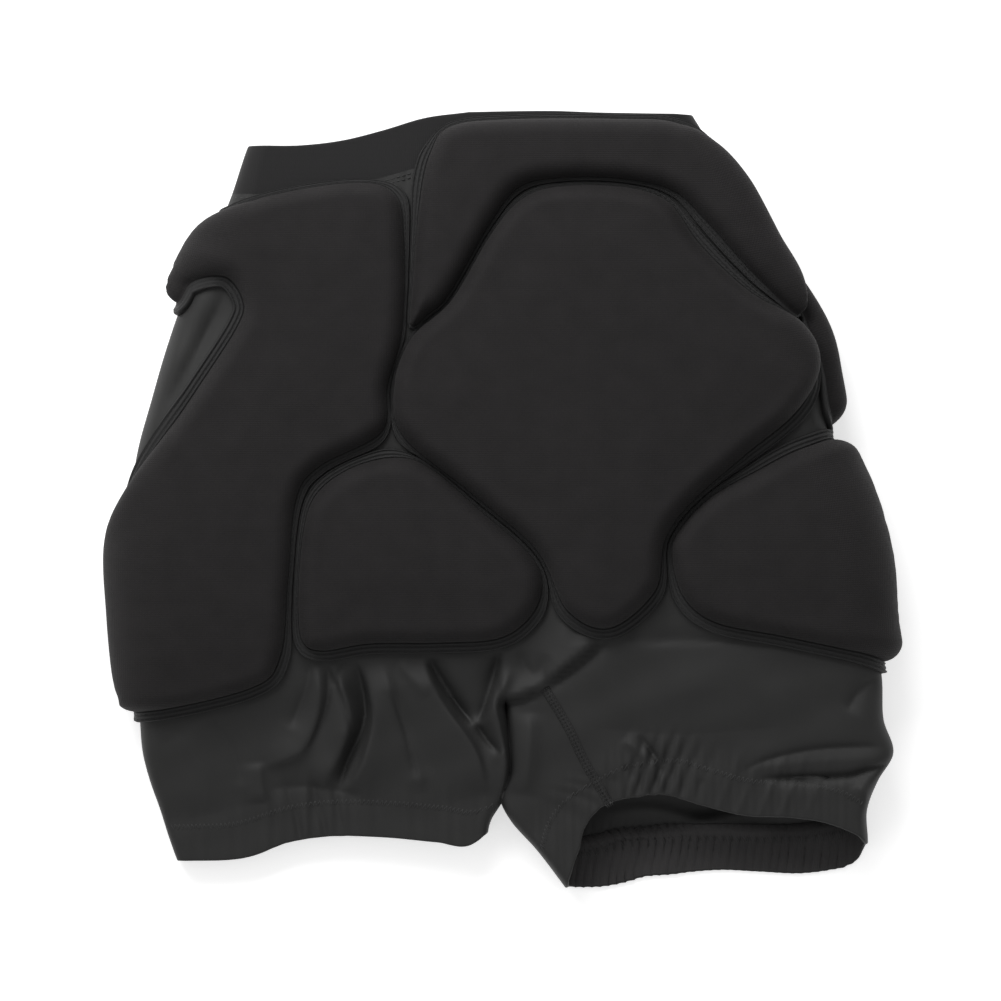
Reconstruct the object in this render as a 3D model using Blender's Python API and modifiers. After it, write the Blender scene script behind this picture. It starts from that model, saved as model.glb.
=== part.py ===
"""Hip pad: short stretch trousers that carry six foam pads, lying flat with the back side up.

Metres, +Z up, the waist towards +Y and the floor at Z = 0. A place on the cloth has two lengths: across,
from the left edge of the spread garment, and down, from the highest point of the waist. Where the cloth
turns round a side, across goes on along the cloth, so a pad is drawn flat and then wrapped.
"""
import math

import bmesh
import bpy
import numpy as np
from mathutils.geometry import delaunay_2d_cdt

# Driving sizes of the garment as it lies
WIDTH = 0.440
LENGTH = 0.429
BODY_HEIGHT = 0.032
SIDE_ROUND = 0.018
INSEAM_ROUND = 0.008
CLOTH = 0.0015
BAND_CLOTH = 0.0022
BAND_HEIGHT = 0.027
HEM_HEIGHT = 0.020

# Driving sizes of the pads and of the flanges that sew them on
PAD_THICKNESS = 0.015
TAILBONE_THICKNESS = 0.018
DOME_RISE = 0.0015
DOME_REACH = 0.030
CROWN_RADIUS = 0.010
FLANGE_WIDTH = 0.005
FLANGE_THICKNESS = 0.0012

# The garment lies twisted: the right hip pad has gone round the side by this much, and up by that
TWIST = 0.137
TWIST_RISE = 0.009

# Clearances
SEAT_GAP = 0.0009
SEAM_GAP = 0.0009
FLANGE_GAP = 0.0016
FOLD_CLEARANCE = 0.012

# Folds and gathers of the cloth
FOLD_HEIGHT = 0.006
FOLD_WIDTH = 0.012
FOLD_FADE = 0.008
GATHER_HEIGHT = 0.0014
GATHER_FADE = 0.014
GATHERS = {"back": 7, "front": 3}

# Shares of the width and of the length
CENTRE_TOP = 0.460
CROTCH_ACROSS = 0.507
CROTCH_DOWN = 0.763
CROTCH_SIDE = {"left": 0.699, "right": 0.712}
RAISE_ACROSS = (0.456, 0.569)
RAISE_DOWN = (0.776, 0.923)
HEIGHT_CHANGE = (0.25, 0.80)

# How finely the faceted cloth and pads follow their curves
SIDE_TURNS = (90.0, 80.0, 45.0, 0.0)
BODY_ROWS = 9
LEG_ROWS = 7
BAND_ROWS = 2
CROTCH_SPREAD = 0.006
CURVE_STEPS = 12
FLAT_STEP = 0.022
SIDE_STEP_TURN = 22.0
SIDE_STRETCH = 2.0
CHORD_ERROR = 0.0007
CROWN_RINGS = (0.30, 1.0)

HALVES = ("left", "right")
LAYERS = {"back": 1, "front": -1}


def named_columns(names, rows):
    """Give a table's columns by name."""
    return {name: np.array([row[place] for row in rows]) for place, name in enumerate(names)}


# The silhouette of the cloth, in shares of LENGTH down and of WIDTH across
SIDES = named_columns(("down", "left", "right"), [
    (0.004, 0.201, 0.739),
    (0.045, 0.184, 0.764),
    (0.115, 0.161, 0.816),
    (0.179, 0.134, 0.844),
    (0.244, 0.103, 0.869),
    (0.308, 0.081, 0.891),
    (0.372, 0.063, 0.905),
    (0.436, 0.046, 0.923),
    (0.500, 0.037, 0.947),
    (0.577, 0.033, 0.962),
    (0.654, 0.035, 0.970),
    (0.731, 0.038, 0.979),
    (0.782, 0.040, 0.981),
    (0.827, 0.051, 0.988),
    (0.859, 0.060, 0.972),
    (0.897, 0.073, 0.960),
    (0.936, 0.085, 0.961),
    (1.000, 0.108, 0.961),
])

# The inner edges of the two legs, from the crotch down
INSEAMS = named_columns(("down", "left", "right"), [
    (0.763, 0.507, 0.507),
    (0.785, 0.503, 0.513),
    (0.814, 0.508, 0.514),
    (0.846, 0.509, 0.515),
    (0.885, 0.499, 0.506),
    (0.910, 0.491, 0.514),
    (0.949, 0.483, 0.545),
    (1.000, 0.476, 0.583),
])

# How far down the waist edge lies; share runs from the side, 0, to the centre line, 1
WAIST = named_columns(("share", "left", "right"), [
    (0.00, 0.044, 0.005),
    (0.25, 0.044, 0.004),
    (0.42, 0.038, 0.003),
    (0.60, 0.025, 0.001),
    (0.78, 0.010, 0.001),
    (1.00, 0.002, 0.002),
])

# How far down the hem edges lie, on the back layer above and the front layer under it
HEMS = {
    "left": named_columns(("share", "back", "front"), [
        (0.00, 0.965, 0.965),
        (0.25, 0.958, 0.954),
        (0.37, 0.938, 0.934),
        (0.47, 0.929, 0.925),
        (0.68, 0.929, 0.925),
        (0.84, 0.940, 0.936),
        (0.95, 0.943, 0.940),
        (1.00, 0.929, 0.929),
    ]),
    "right": named_columns(("share", "back", "front"), [
        (0.00, 0.942, 0.942),
        (0.05, 0.926, 0.957),
        (0.12, 0.914, 0.970),
        (0.20, 0.908, 0.979),
        (0.35, 0.904, 0.979),
        (0.46, 0.891, 0.977),
        (0.57, 0.878, 0.978),
        (0.63, 0.880, 0.980),
        (0.72, 0.892, 0.986),
        (0.79, 0.916, 0.993),
        (0.86, 0.945, 0.998),
        (1.00, 1.000, 1.000),
    ]),
}

# Roundness of the sides in shares of SIDE_ROUND, and height of each half's back in shares of BODY_HEIGHT
HEIGHTS = named_columns(("down", "round", "left", "right"), [
    (0.00, 0.55, 0.70, 1.15),
    (0.15, 0.80, 0.90, 1.22),
    (0.35, 1.00, 1.00, 1.25),
    (0.65, 0.95, 0.95, 1.25),
    (0.80, 0.70, 0.70, 1.12),
    (0.90, 0.50, 0.52, 1.00),
    (1.00, 0.45, 0.45, 0.95),
])

# Main folds of the back, a row each: the two ends, the bow in shares of the fold's length, the height in
# shares of FOLD_HEIGHT, and the width on its clockwise and other side in shares of FOLD_WIDTH
FOLDS = named_columns(
    ("start_across", "start_down", "end_across", "end_down", "bow", "height", "clockwise", "other"), [
        (0.298, 0.700, 0.278, 0.880, -0.12, 0.90, 1.00, 0.45),
        (0.319, 0.710, 0.300, 0.872, -0.10, -0.60, 0.45, 0.50),
        (0.396, 0.715, 0.488, 0.885, -0.05, 0.60, 1.20, 0.60),
        (0.413, 0.692, 0.466, 0.786, 0.00, -0.50, 0.40, 0.60),
        (0.456, 0.692, 0.473, 0.776, 0.00, -0.50, 1.20, 1.20),
        (0.496, 0.715, 0.486, 0.878, 0.04, 0.50, 0.60, 0.60),
        (0.196, 0.842, 0.259, 0.824, 0.00, 0.35, 0.35, 1.00),
        (0.200, 0.850, 0.204, 0.894, 0.00, 0.35, 1.00, 0.35),
        (0.275, 0.705, 0.260, 0.792, 0.00, -0.40, 0.50, 0.50),
        (0.633, 0.671, 0.510, 0.760, 0.04, 0.80, 1.20, 0.40),
        (0.633, 0.677, 0.841, 0.690, 0.00, 0.35, 1.20, 0.40),
        (0.794, 0.840, 0.980, 0.831, 0.00, 0.80, 0.45, 1.20),
        (0.841, 0.860, 0.980, 0.846, 0.00, -0.50, 0.40, 0.40),
        (0.676, 0.806, 0.710, 0.874, -0.12, 0.50, 0.90, 0.40),
        (0.156, 0.237, 0.063, 0.423, 0.00, -0.25, 0.60, 0.60),
    ])

# Outlines of the pads on the flat cloth, in shares of WIDTH across and LENGTH down
OUTLINES = {
    "tailbone_pad": named_columns(("across", "down"), [
        (0.575, 0.099),
        (0.656, 0.100),
        (0.710, 0.119),
        (0.748, 0.172),
        (0.803, 0.227),
        (0.869, 0.274),
        (0.893, 0.327),
        (0.869, 0.387),
        (0.806, 0.442),
        (0.738, 0.504),
        (0.706, 0.551),
        (0.694, 0.615),
        (0.638, 0.663),
        (0.585, 0.641),
        (0.546, 0.564),
        (0.463, 0.490),
        (0.379, 0.418),
        (0.368, 0.353),
        (0.390, 0.292),
        (0.440, 0.244),
        (0.490, 0.159),
        (0.528, 0.115),
    ]),
    "lumbar_pad": named_columns(("across", "down"), [
        (0.391, 0.224),
        (0.400, 0.122),
        (0.413, 0.058),
        (0.440, 0.021),
        (0.525, 0.012),
        (0.650, 0.012),
        (0.719, 0.017),
        (0.762, 0.047),
        (0.806, 0.098),
        (0.845, 0.168),
        (0.875, 0.218),
        (0.878, 0.262),
        (0.856, 0.253),
        (0.803, 0.195),
        (0.756, 0.141),
        (0.715, 0.104),
        (0.650, 0.089),
        (0.575, 0.088),
        (0.523, 0.101),
        (0.486, 0.150),
        (0.436, 0.238),
        (0.411, 0.262),
        (0.389, 0.277),
    ]),
    "left_hip_pad": named_columns(("across", "down"), [
        (0.203, 0.108),
        (0.319, 0.094),
        (0.369, 0.109),
        (0.380, 0.167),
        (0.378, 0.282),
        (0.360, 0.353),
        (0.352, 0.413),
        (0.273, 0.458),
        (0.245, 0.500),
        (0.235, 0.603),
        (0.225, 0.699),
        (0.188, 0.740),
        (0.044, 0.773),
        (0.014, 0.750),
        (0.004, 0.654),
        (0.005, 0.545),
        (0.039, 0.474),
        (0.121, 0.360),
        (0.173, 0.277),
        (0.179, 0.244),
        (0.156, 0.214),
        (0.113, 0.219),
        (0.097, 0.234),
        (0.085, 0.237),
        (0.081, 0.221),
        (0.090, 0.194),
        (0.108, 0.160),
        (0.138, 0.129),
    ]),
    "left_seat_pad": named_columns(("across", "down"), [
        (0.369, 0.446),
        (0.413, 0.459),
        (0.475, 0.513),
        (0.535, 0.567),
        (0.553, 0.605),
        (0.540, 0.646),
        (0.500, 0.676),
        (0.425, 0.682),
        (0.338, 0.683),
        (0.278, 0.692),
        (0.253, 0.679),
        (0.248, 0.628),
        (0.254, 0.545),
        (0.270, 0.494),
        (0.313, 0.460),
    ]),
    "right_seat_pad": named_columns(("across", "down"), [
        (0.714, 0.567),
        (0.728, 0.533),
        (0.765, 0.495),
        (0.819, 0.464),
        (0.875, 0.435),
        (0.925, 0.424),
        (0.969, 0.451),
        (1.006, 0.513),
        (1.025, 0.590),
        (1.025, 0.673),
        (1.000, 0.708),
        (0.938, 0.692),
        (0.850, 0.673),
        (0.769, 0.656),
        (0.729, 0.623),
    ]),
}
THICKNESSES = {
    "tailbone_pad": TAILBONE_THICKNESS,
    "lumbar_pad": PAD_THICKNESS,
    "left_hip_pad": PAD_THICKNESS,
    "right_hip_pad": PAD_THICKNESS,
    "left_seat_pad": PAD_THICKNESS,
    "right_seat_pad": PAD_THICKNESS,
}

# Colours, roughness
CLOTH_LOOK = ((0.030, 0.032, 0.031, 1.0), 0.62)
BAND_LOOK = ((0.033, 0.034, 0.036, 1.0), 0.66)
PAD_LOOK = ((0.024, 0.023, 0.023, 1.0), 0.80)


# Small mathematics

def smooth_step(value):
    """Rise smoothly from 0 to 1 as the value does."""
    value = np.clip(value, 0.0, 1.0)
    return value * value * (3.0 - 2.0 * value)


def smooth_through(places, values, wanted):
    """Read a smooth curve that goes through a table's values."""
    slopes = np.gradient(values, places)
    wanted = np.clip(wanted, places[0], places[-1])
    start = np.clip(np.searchsorted(places, wanted) - 1, 0, len(places) - 2)
    span = places[start + 1] - places[start]
    part = (wanted - places[start]) / span
    rising = smooth_step(part)
    leaving = part * (1.0 - part) ** 2 * span * slopes[start]
    arriving = part ** 2 * (1.0 - part) * span * slopes[start + 1]
    return values[start] + (values[start + 1] - values[start]) * rising + leaving - arriving


def closed_curve(corners):
    """Draw a closed smooth curve through the corners of an outline."""
    before = np.roll(corners, 1, axis=0)
    after = np.roll(corners, -1, axis=0)
    beyond = np.roll(corners, -2, axis=0)
    points = []
    for step in range(CURVE_STEPS):
        part = step / CURVE_STEPS
        points.append(0.5 * (
            2.0 * corners + (after - before) * part
            + (2.0 * before - 5.0 * corners + 4.0 * after - beyond) * part ** 2
            + (3.0 * corners - before - 3.0 * after + beyond) * part ** 3))
    return np.stack(points, axis=1).reshape(-1, 2)


def depth_inside(points, outline):
    """Distance of plan points from a closed outline, more than 0 inside it."""
    ends = np.roll(outline, -1, axis=0)
    edges = ends - outline
    offsets = points[:, None, :] - outline[None, :, :]
    part = np.clip((offsets * edges).sum(2) / (edges * edges).sum(1), 0.0, 1.0)
    gaps = np.linalg.norm(offsets - part[:, :, None] * edges, axis=2).min(axis=1)
    above = outline[:, 1] > points[:, None, 1]
    crosses = above != (ends[:, 1] > points[:, None, 1])
    rise = np.where(edges[:, 1] == 0.0, 1.0, edges[:, 1])
    meets = outline[:, 0] + (points[:, None, 1] - outline[:, 1]) * edges[:, 0] / rise
    inside = (crosses & (points[:, None, 0] < meets)).sum(axis=1) % 2 == 1
    return np.where(inside, gaps, -gaps)


# The shape of the cloth

def side(half, down):
    """How far across the silhouette of one half lies."""
    return WIDTH * smooth_through(SIDES["down"] * LENGTH, SIDES[half], down)


def inside_edge(half, down):
    """How far across the centre line lies and, below the crotch, the inner edge of one leg."""
    centre = WIDTH * (CENTRE_TOP + (CROTCH_ACROSS - CENTRE_TOP) * down / (CROTCH_DOWN * LENGTH))
    leg = WIDTH * smooth_through(INSEAMS["down"] * LENGTH, INSEAMS[half], down)
    return np.where(down < CROTCH_DOWN * LENGTH, centre, leg)


def roundness(down):
    """Radius with which the cloth turns round the sides."""
    return SIDE_ROUND * smooth_through(HEIGHTS["down"] * LENGTH, HEIGHTS["round"], down)


def floor_height(across, down):
    """Height of the under layer: 0, and higher where the right hip pad lies under it."""
    start, end = RAISE_ACROSS
    fade_start, fade_end = RAISE_DOWN
    along = smooth_step((across / WIDTH - start) / (end - start))
    fade = 1.0 - smooth_step((down / LENGTH - fade_start) / (fade_end - fade_start))
    return (THICKNESSES["right_hip_pad"] + SEAT_GAP) * along * fade


def back_height(across, down):
    """Height of the upper layer."""
    start, end = HEIGHT_CHANGE
    change = smooth_step((across / WIDTH - start) / (end - start))
    left = smooth_through(HEIGHTS["down"] * LENGTH, HEIGHTS["left"], down)
    right = smooth_through(HEIGHTS["down"] * LENGTH, HEIGHTS["right"], down)
    return BODY_HEIGHT * (left + (right - left) * change)


def inseam_openness(across, down):
    """0 where the two layers meet along the inner legs, 1 away from there."""
    left = inside_edge("left", down)
    right = inside_edge("right", down)
    level = np.where(across < (left + right) / 2.0, left - across, across - right)
    below = down - CROTCH_DOWN * LENGTH
    to_crotch = np.hypot(across - CROTCH_ACROSS * WIDTH, below)
    gap = np.where(below > 0.0, np.maximum(level, 0.0), to_crotch)
    return np.sqrt(1.0 - (1.0 - np.minimum(gap / INSEAM_ROUND, 1.0)) ** 2)


def fold_height(across, down):
    """Height that the main folds add to the back, 0 under the pads."""
    total = np.zeros_like(across)
    for row in range(len(FOLDS["bow"])):
        fold = {name: column[row] for name, column in FOLDS.items()}
        run_across = (fold["end_across"] - fold["start_across"]) * WIDTH
        run_down = (fold["end_down"] - fold["start_down"]) * LENGTH
        length = math.hypot(run_across, run_down)
        from_across = across - fold["start_across"] * WIDTH
        from_down = down - fold["start_down"] * LENGTH
        along = (from_across * run_across + from_down * run_down) / length ** 2
        beside = (run_across * from_down - run_down * from_across) / length
        beside = beside - fold["bow"] * length * 4.0 * along * (1.0 - along)
        width = FOLD_WIDTH * np.where(beside > 0.0, fold["clockwise"], fold["other"])
        ends = smooth_step(1.0 - np.abs(2.0 * np.clip(along, 0.0, 1.0) - 1.0) ** 3)
        total = total + fold["height"] * FOLD_HEIGHT * ends * np.exp(-(beside / width) ** 2)
    return total * freedom(across, down)


def freedom(across, down):
    """0 under the pads and their flanges, 1 where the cloth is free to fold."""
    flat = np.stack([laid_out(across, down).ravel(), down.ravel()], axis=1)
    depth = np.max([depth_inside(flat, outline) for outline in FLAT_OUTLINES.values()], axis=0)
    return smooth_step((-depth - FLANGE_WIDTH - FOLD_CLEARANCE) / FOLD_FADE).reshape(across.shape)


def laid_out(across, down):
    """Turn a plan place on the upper layer into its place across the laid-out cloth."""
    radius = roundness(down)
    left = side("left", down)
    right = side("right", down)
    left_turn = np.arcsin(np.clip(1.0 - (across - left) / radius, 0.0, 1.0))
    right_turn = np.arcsin(np.clip(1.0 - (right - across) / radius, 0.0, 1.0))
    flat = np.where(left_turn > 0.0, left + radius * (1.0 - left_turn), across)
    return np.where(right_turn > 0.0, right - radius * (1.0 - right_turn), flat)


def side_turn(across, down):
    """Angle by which a place on the laid-out cloth has turned round its side, and which side that is."""
    radius = roundness(down)
    left_turn = (side("left", down) + radius - across) / radius
    right_turn = (across - side("right", down) + radius) / radius
    return np.maximum(np.maximum(left_turn, right_turn), 0.0), left_turn > right_turn


def height(across, down, facing, shut=0.0):
    """Height of the cloth at a plan place; facing is 1 on the upper layer, 0 at a side, -1 under."""
    low = floor_height(across, down)
    high = back_height(across, down)
    middle = (low + high) / 2.0
    lift = np.maximum((high - low) / 2.0 * np.abs(facing) * inseam_openness(across, down), shut)
    return middle + np.sign(facing + (facing == 0.0) * shut) * lift


def cloth_point(across, down):
    """Points on the outside of the cloth, for places on the laid-out cloth."""
    turn, on_left = side_turn(across, down)
    radius = roundness(down)
    bend = np.minimum(turn, math.pi)
    reach = radius * (1.0 - np.sin(bend)) + radius * np.maximum(turn - math.pi, 0.0)
    edge = np.where(on_left, side("left", down) + reach, side("right", down) - reach)
    plan = np.where(turn > 0.0, edge, across)
    return np.stack([plan - WIDTH / 2.0, LENGTH / 2.0 - down, height(plan, down, np.cos(bend))], axis=-1)


def cloth_normal(across, down):
    """Directions straight out of the cloth."""
    small = 0.0015
    along = cloth_point(across + small, down) - cloth_point(across - small, down)
    downward = cloth_point(across, down + small) - cloth_point(across, down - small)
    normal = np.cross(downward, along)
    return normal / np.linalg.norm(normal, axis=-1, keepdims=True)


# Outlines on the laid-out cloth

def flat_outlines():
    """Smooth pad outlines in metres; the right hip pad mirrors the left one and shares its twist."""
    outlines = {}
    for name, outline in OUTLINES.items():
        corners = np.stack([outline["across"] * WIDTH, outline["down"] * LENGTH], axis=1)
        outlines[name] = closed_curve(corners)
    left = outlines["left_hip_pad"]
    across = 2.0 * inside_edge("left", np.minimum(left[:, 1], CROTCH_DOWN * LENGTH)) - left[:, 0] + TWIST
    outlines["right_hip_pad"] = np.stack([across, left[:, 1] - TWIST_RISE], axis=1)[::-1]
    return outlines


def flange_widths(name, points):
    """Width of a pad's flange at points of its outline: narrower where another pad is near."""
    others = [outline for other, outline in FLAT_OUTLINES.items() if other != name]
    to_pads = np.min([-depth_inside(points, outline) for outline in others], axis=0)
    to_waist = points[:, 1] - waist_edge_near(points[:, 0])
    room = np.minimum((to_pads - FLANGE_GAP) / 2.0, to_waist - FLANGE_GAP)
    return np.clip(room, FLANGE_GAP / 2.0, FLANGE_WIDTH)


def waist_edge_near(across):
    """How far down the waist edge lies at a place across."""
    shares = np.linspace(0.0, 1.0, 40)
    lines = []
    for half in HALVES:
        down = key_lines(half, "back", shares)[0]
        outer = side(half, down)
        lines.append(np.stack([outer + shares * (inside_edge(half, down) - outer), down], axis=1))
    edge = np.concatenate([lines[0], lines[1][::-1]])
    return np.interp(across, edge[:, 0], edge[:, 1])


# Lattices of the cloth pieces

def key_lines(half, layer, share):
    """How far down the waist edge, band seam, crotch line, hem seam and hem edge lie at a share."""
    waist = LENGTH * smooth_through(WAIST["share"], WAIST[half], share)
    outer = CROTCH_SIDE[half]
    crotch = LENGTH * (outer + (CROTCH_DOWN - outer) * share)
    hem = LENGTH * smooth_through(HEMS[half]["share"], HEMS[half][layer], share)
    return np.stack([waist, waist + BAND_HEIGHT, crotch, hem - HEM_HEIGHT, hem])


def down_at(half, layer, share, station):
    """How far down a row lies; station counts the key lines, with parts between them."""
    lines = key_lines(half, layer, share)
    line = min(int(station), len(lines) - 2)
    part = station - line
    return lines[line] * (1.0 - part) + lines[line + 1] * part


def column_shares(half, layer, station):
    """Shares of the columns of a row, close together round the side and, on a leg, the inner edge."""
    rounding = 1.0 - np.sin(np.radians(SIDE_TURNS))
    outer_down = down_at(half, layer, np.array(0.0), station)
    inner_down = down_at(half, layer, np.array(1.0), station)
    outer_width = abs(inside_edge(half, outer_down) - side(half, outer_down))
    inner_width = abs(inside_edge(half, inner_down) - side(half, inner_down))
    outer = roundness(outer_down) / outer_width * rounding
    inner = 1.0 - INSEAM_ROUND / inner_width * rounding
    columns = 2 * GATHERS[layer]
    leg = np.concatenate([outer, np.linspace(outer[-1], inner[-1], columns + 1)[1:-1], inner[::-1]])
    body = np.concatenate([outer, np.linspace(outer[-1], 1.0, columns + len(SIDE_TURNS))[1:]])
    return body + (leg - body) * smooth_step((station - 1.5) * 2.0)


def cloth_row(half, layer, row, shut):
    """Points of one row of the cloth, from the side to the centre line or the inner edge of the leg."""
    station, side_shift, inner_shift = row
    share = column_shares(half, layer, station)
    down = down_at(half, layer, share, station) + side_shift + (inner_shift - side_shift) * share
    outer = side(half, down)
    across = outer + share * (inside_edge(half, down) - outer)
    near_side = np.clip(1.0 - np.abs(across - outer) / roundness(down), 0.0, 1.0)
    facing = LAYERS[layer] * np.sqrt(1.0 - near_side ** 2)
    if shut > 0.0:
        facing = LAYERS[layer] * np.maximum(np.abs(facing), 1e-6)
    up = height(across, down, facing, shut)
    open_share = np.abs(facing) * inseam_openness(across, down)
    if layer == "back":
        up = up + fold_height(across, down) * open_share
    first = len(SIDE_TURNS) - 1
    gathered = (share - share[first]) / (share[-1 - first] - share[first])
    wave = np.cos(2.0 * math.pi * GATHERS[layer] * np.clip(gathered, 0.0, 1.0))
    seam = key_lines(half, layer, share)[3]
    near_hem = smooth_step((down - seam + GATHER_FADE) / GATHER_FADE)
    rise = wave if layer == "back" else (1.0 - wave) / 2.0
    up = up + GATHER_HEIGHT * rise * near_hem * open_share
    return np.stack([across - WIDTH / 2.0, LENGTH / 2.0 - down, up], axis=1)


# Blender objects

def clear_scene():
    """Start from an empty scene."""
    for item in list(bpy.data.objects):
        bpy.data.objects.remove(item, do_unlink=True)


def material(name, look):
    """Make a plain material."""
    colour, roughness = look
    made = bpy.data.materials.new(name)
    made.use_nodes = True
    shader = made.node_tree.nodes["Principled BSDF"]
    shader.inputs["Base Color"].default_value = colour
    shader.inputs["Roughness"].default_value = roughness
    made.diffuse_color = colour
    return made


def add_piece(name, mesh_data, look, collection):
    """Put a bmesh into the scene as a named object with its own material."""
    mesh = bpy.data.meshes.new(name)
    mesh_data.to_mesh(mesh)
    mesh_data.free()
    mesh.shade_smooth()
    piece = bpy.data.objects.new(name, mesh)
    piece.data.materials.append(material(name, look))
    collection.objects.link(piece)
    return piece


def add_wall(piece, thickness, offset):
    """Give an open sheet its wall."""
    wall = piece.modifiers.new("wall", "SOLIDIFY")
    wall.thickness = thickness
    wall.offset = offset
    return wall


def loft_rows(mesh_data, rows, flip):
    """Join rows of points into a sheet that faces up, or down where it is flipped."""
    grid = [[mesh_data.verts.new(point) for point in row] for row in rows]
    for upper, lower in zip(grid, grid[1:]):
        for column in range(len(upper) - 1):
            corners = [upper[column], lower[column], lower[column + 1], upper[column + 1]]
            mesh_data.faces.new(corners[::-1] if flip else corners)


def cloth_sheet(name, parts, wall, look, collection):
    """Make one piece of cloth from lofted parts, each a half, a layer and its rows."""
    mesh_data = bmesh.new()
    for half, layer, rows, shut in parts:
        points = [cloth_row(half, layer, row, shut) for row in rows]
        loft_rows(mesh_data, points, flip=(half == "right") != (layer == "front"))
    bmesh.ops.remove_doubles(mesh_data, verts=mesh_data.verts, dist=1e-6)
    piece = add_piece(name, mesh_data, look, collection)
    add_wall(piece, wall, -1.0)
    return piece


def even_rows(start, count, first_shift, last_shift):
    """Rows between two key lines: a station, and how far down it shifts at the side and inside."""
    shifts = [first_shift] + [0.0] * (count - 1) + [last_shift]
    return [(start + step / count, shift, shift) for step, shift in enumerate(shifts)]


def panel_rows():
    """Rows of a body panel, from the band seam to the hem seam, closer together at the crotch."""
    body = even_rows(1.0, BODY_ROWS, SEAM_GAP / 2.0, 0.0)
    legs = even_rows(2.0, LEG_ROWS, 0.0, -SEAM_GAP / 2.0)
    rounding = []
    for place, turn in enumerate(SIDE_TURNS[-2:0:-1]):
        shift = -INSEAM_ROUND * (1.0 - math.sin(math.radians(turn)))
        rounding.append((2.0, shift - CROTCH_SPREAD * (2 - place), shift))
    return body[:-1] + rounding + legs


def make_panels(collection):
    """The back above and the front under it, which meet at the sides and the inner legs."""
    for layer in LAYERS:
        parts = [(half, layer, panel_rows(), SEAM_GAP / 2.0) for half in HALVES]
        cloth_sheet(layer + "_panel", parts, CLOTH, CLOTH_LOOK, collection)


def make_waistband(collection):
    """The closed band round the waist."""
    rows = even_rows(0.0, BAND_ROWS, 0.0, -SEAM_GAP / 2.0)
    parts = [(half, layer, rows, 0.0) for half in HALVES for layer in LAYERS]
    cloth_sheet("waistband", parts, BAND_CLOTH, BAND_LOOK, collection)


def make_hems(collection):
    """The gathered bands round the leg openings."""
    rows = even_rows(3.0, BAND_ROWS, SEAM_GAP / 2.0, 0.0)
    for half in HALVES:
        parts = [(half, layer, rows, 0.0) for layer in LAYERS]
        cloth_sheet(half + "_hem", parts, BAND_CLOTH, CLOTH_LOOK, collection)


# Pads

def outline_walk(outline):
    """Pick the points of an outline that its facets need, and the outward direction at each."""
    ahead = np.roll(outline, -1, axis=0) - np.roll(outline, 1, axis=0)
    ahead = ahead / np.linalg.norm(ahead, axis=1, keepdims=True)
    heading = np.unwrap(np.arctan2(ahead[:, 1], ahead[:, 0]))
    turn, _ = side_turn(outline[:, 0], outline[:, 1])
    side_steps = roundness(outline[:, 1]) * math.radians(SIDE_STEP_TURN)
    steps = np.where((turn > 0.0) & (turn < math.pi), side_steps, FLAT_STEP)
    picked = [0]
    for place in range(1, len(outline)):
        walked = np.linalg.norm(outline[place] - outline[picked[-1]])
        turned = abs(heading[place] - heading[picked[-1]])
        if walked >= steps[place] or walked * turned / 8.0 >= CHORD_ERROR:
            picked.append(place)
    if np.linalg.norm(outline[picked[-1]] - outline[0]) < steps[0] / 8.0:
        picked.pop()
    outward = np.stack([ahead[picked, 1], -ahead[picked, 0]], axis=1)
    step_out = outline[picked] + outward * SEAT_GAP
    if depth_inside(step_out, outline).mean() > 0.0:
        outward = -outward
    return outline[picked], outward


def inner_places(outline):
    """Places inside a pad's crown: sparse where the cloth is flat, closer together round a side."""
    places = []
    for down in np.arange(outline[:, 1].min(), outline[:, 1].max(), FLAT_STEP):
        radius = float(roundness(np.array(down)))
        left = float(side("left", np.array(down))) + radius
        right = float(side("right", np.array(down))) - radius
        step = radius * math.radians(SIDE_STEP_TURN)
        wraps = np.arange(0.0, math.pi * radius + step, step)
        beyond = math.pi * radius + np.arange(2.0 * step, WIDTH / 2.0, FLAT_STEP)
        middle = np.linspace(left, right, int((right - left) / FLAT_STEP) + 1)[1:-1]
        across = np.concatenate([left - wraps, middle, right + wraps, right + beyond])
        places.extend((place, down) for place in across)
    places = np.array(places)
    return places[depth_inside(places, outline) > CROWN_RADIUS * 1.35]


def stretched(places):
    """Places drawn out across the sides, so that no facet is long across a bend."""
    turn, on_left = side_turn(places[:, 0], places[:, 1])
    stretch = SIDE_STRETCH * roundness(places[:, 1]) * np.minimum(turn, math.pi)
    across = places[:, 0] + np.where(on_left, -stretch, stretch)
    return list(zip(across, -places[:, 1]))


def pad_height(depth, thickness):
    """Thickness of a pad at a distance inside its outline, down to the flange outside it."""
    inside = np.maximum(depth, 0.0)
    crown = np.sqrt(1.0 - (1.0 - np.minimum(inside / CROWN_RADIUS, 1.0)) ** 2)
    dome = DOME_RISE * (1.0 - smooth_step((inside - CROWN_RADIUS) / DOME_REACH))
    return FLANGE_THICKNESS + (thickness - dome - FLANGE_THICKNESS) * crown


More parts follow.
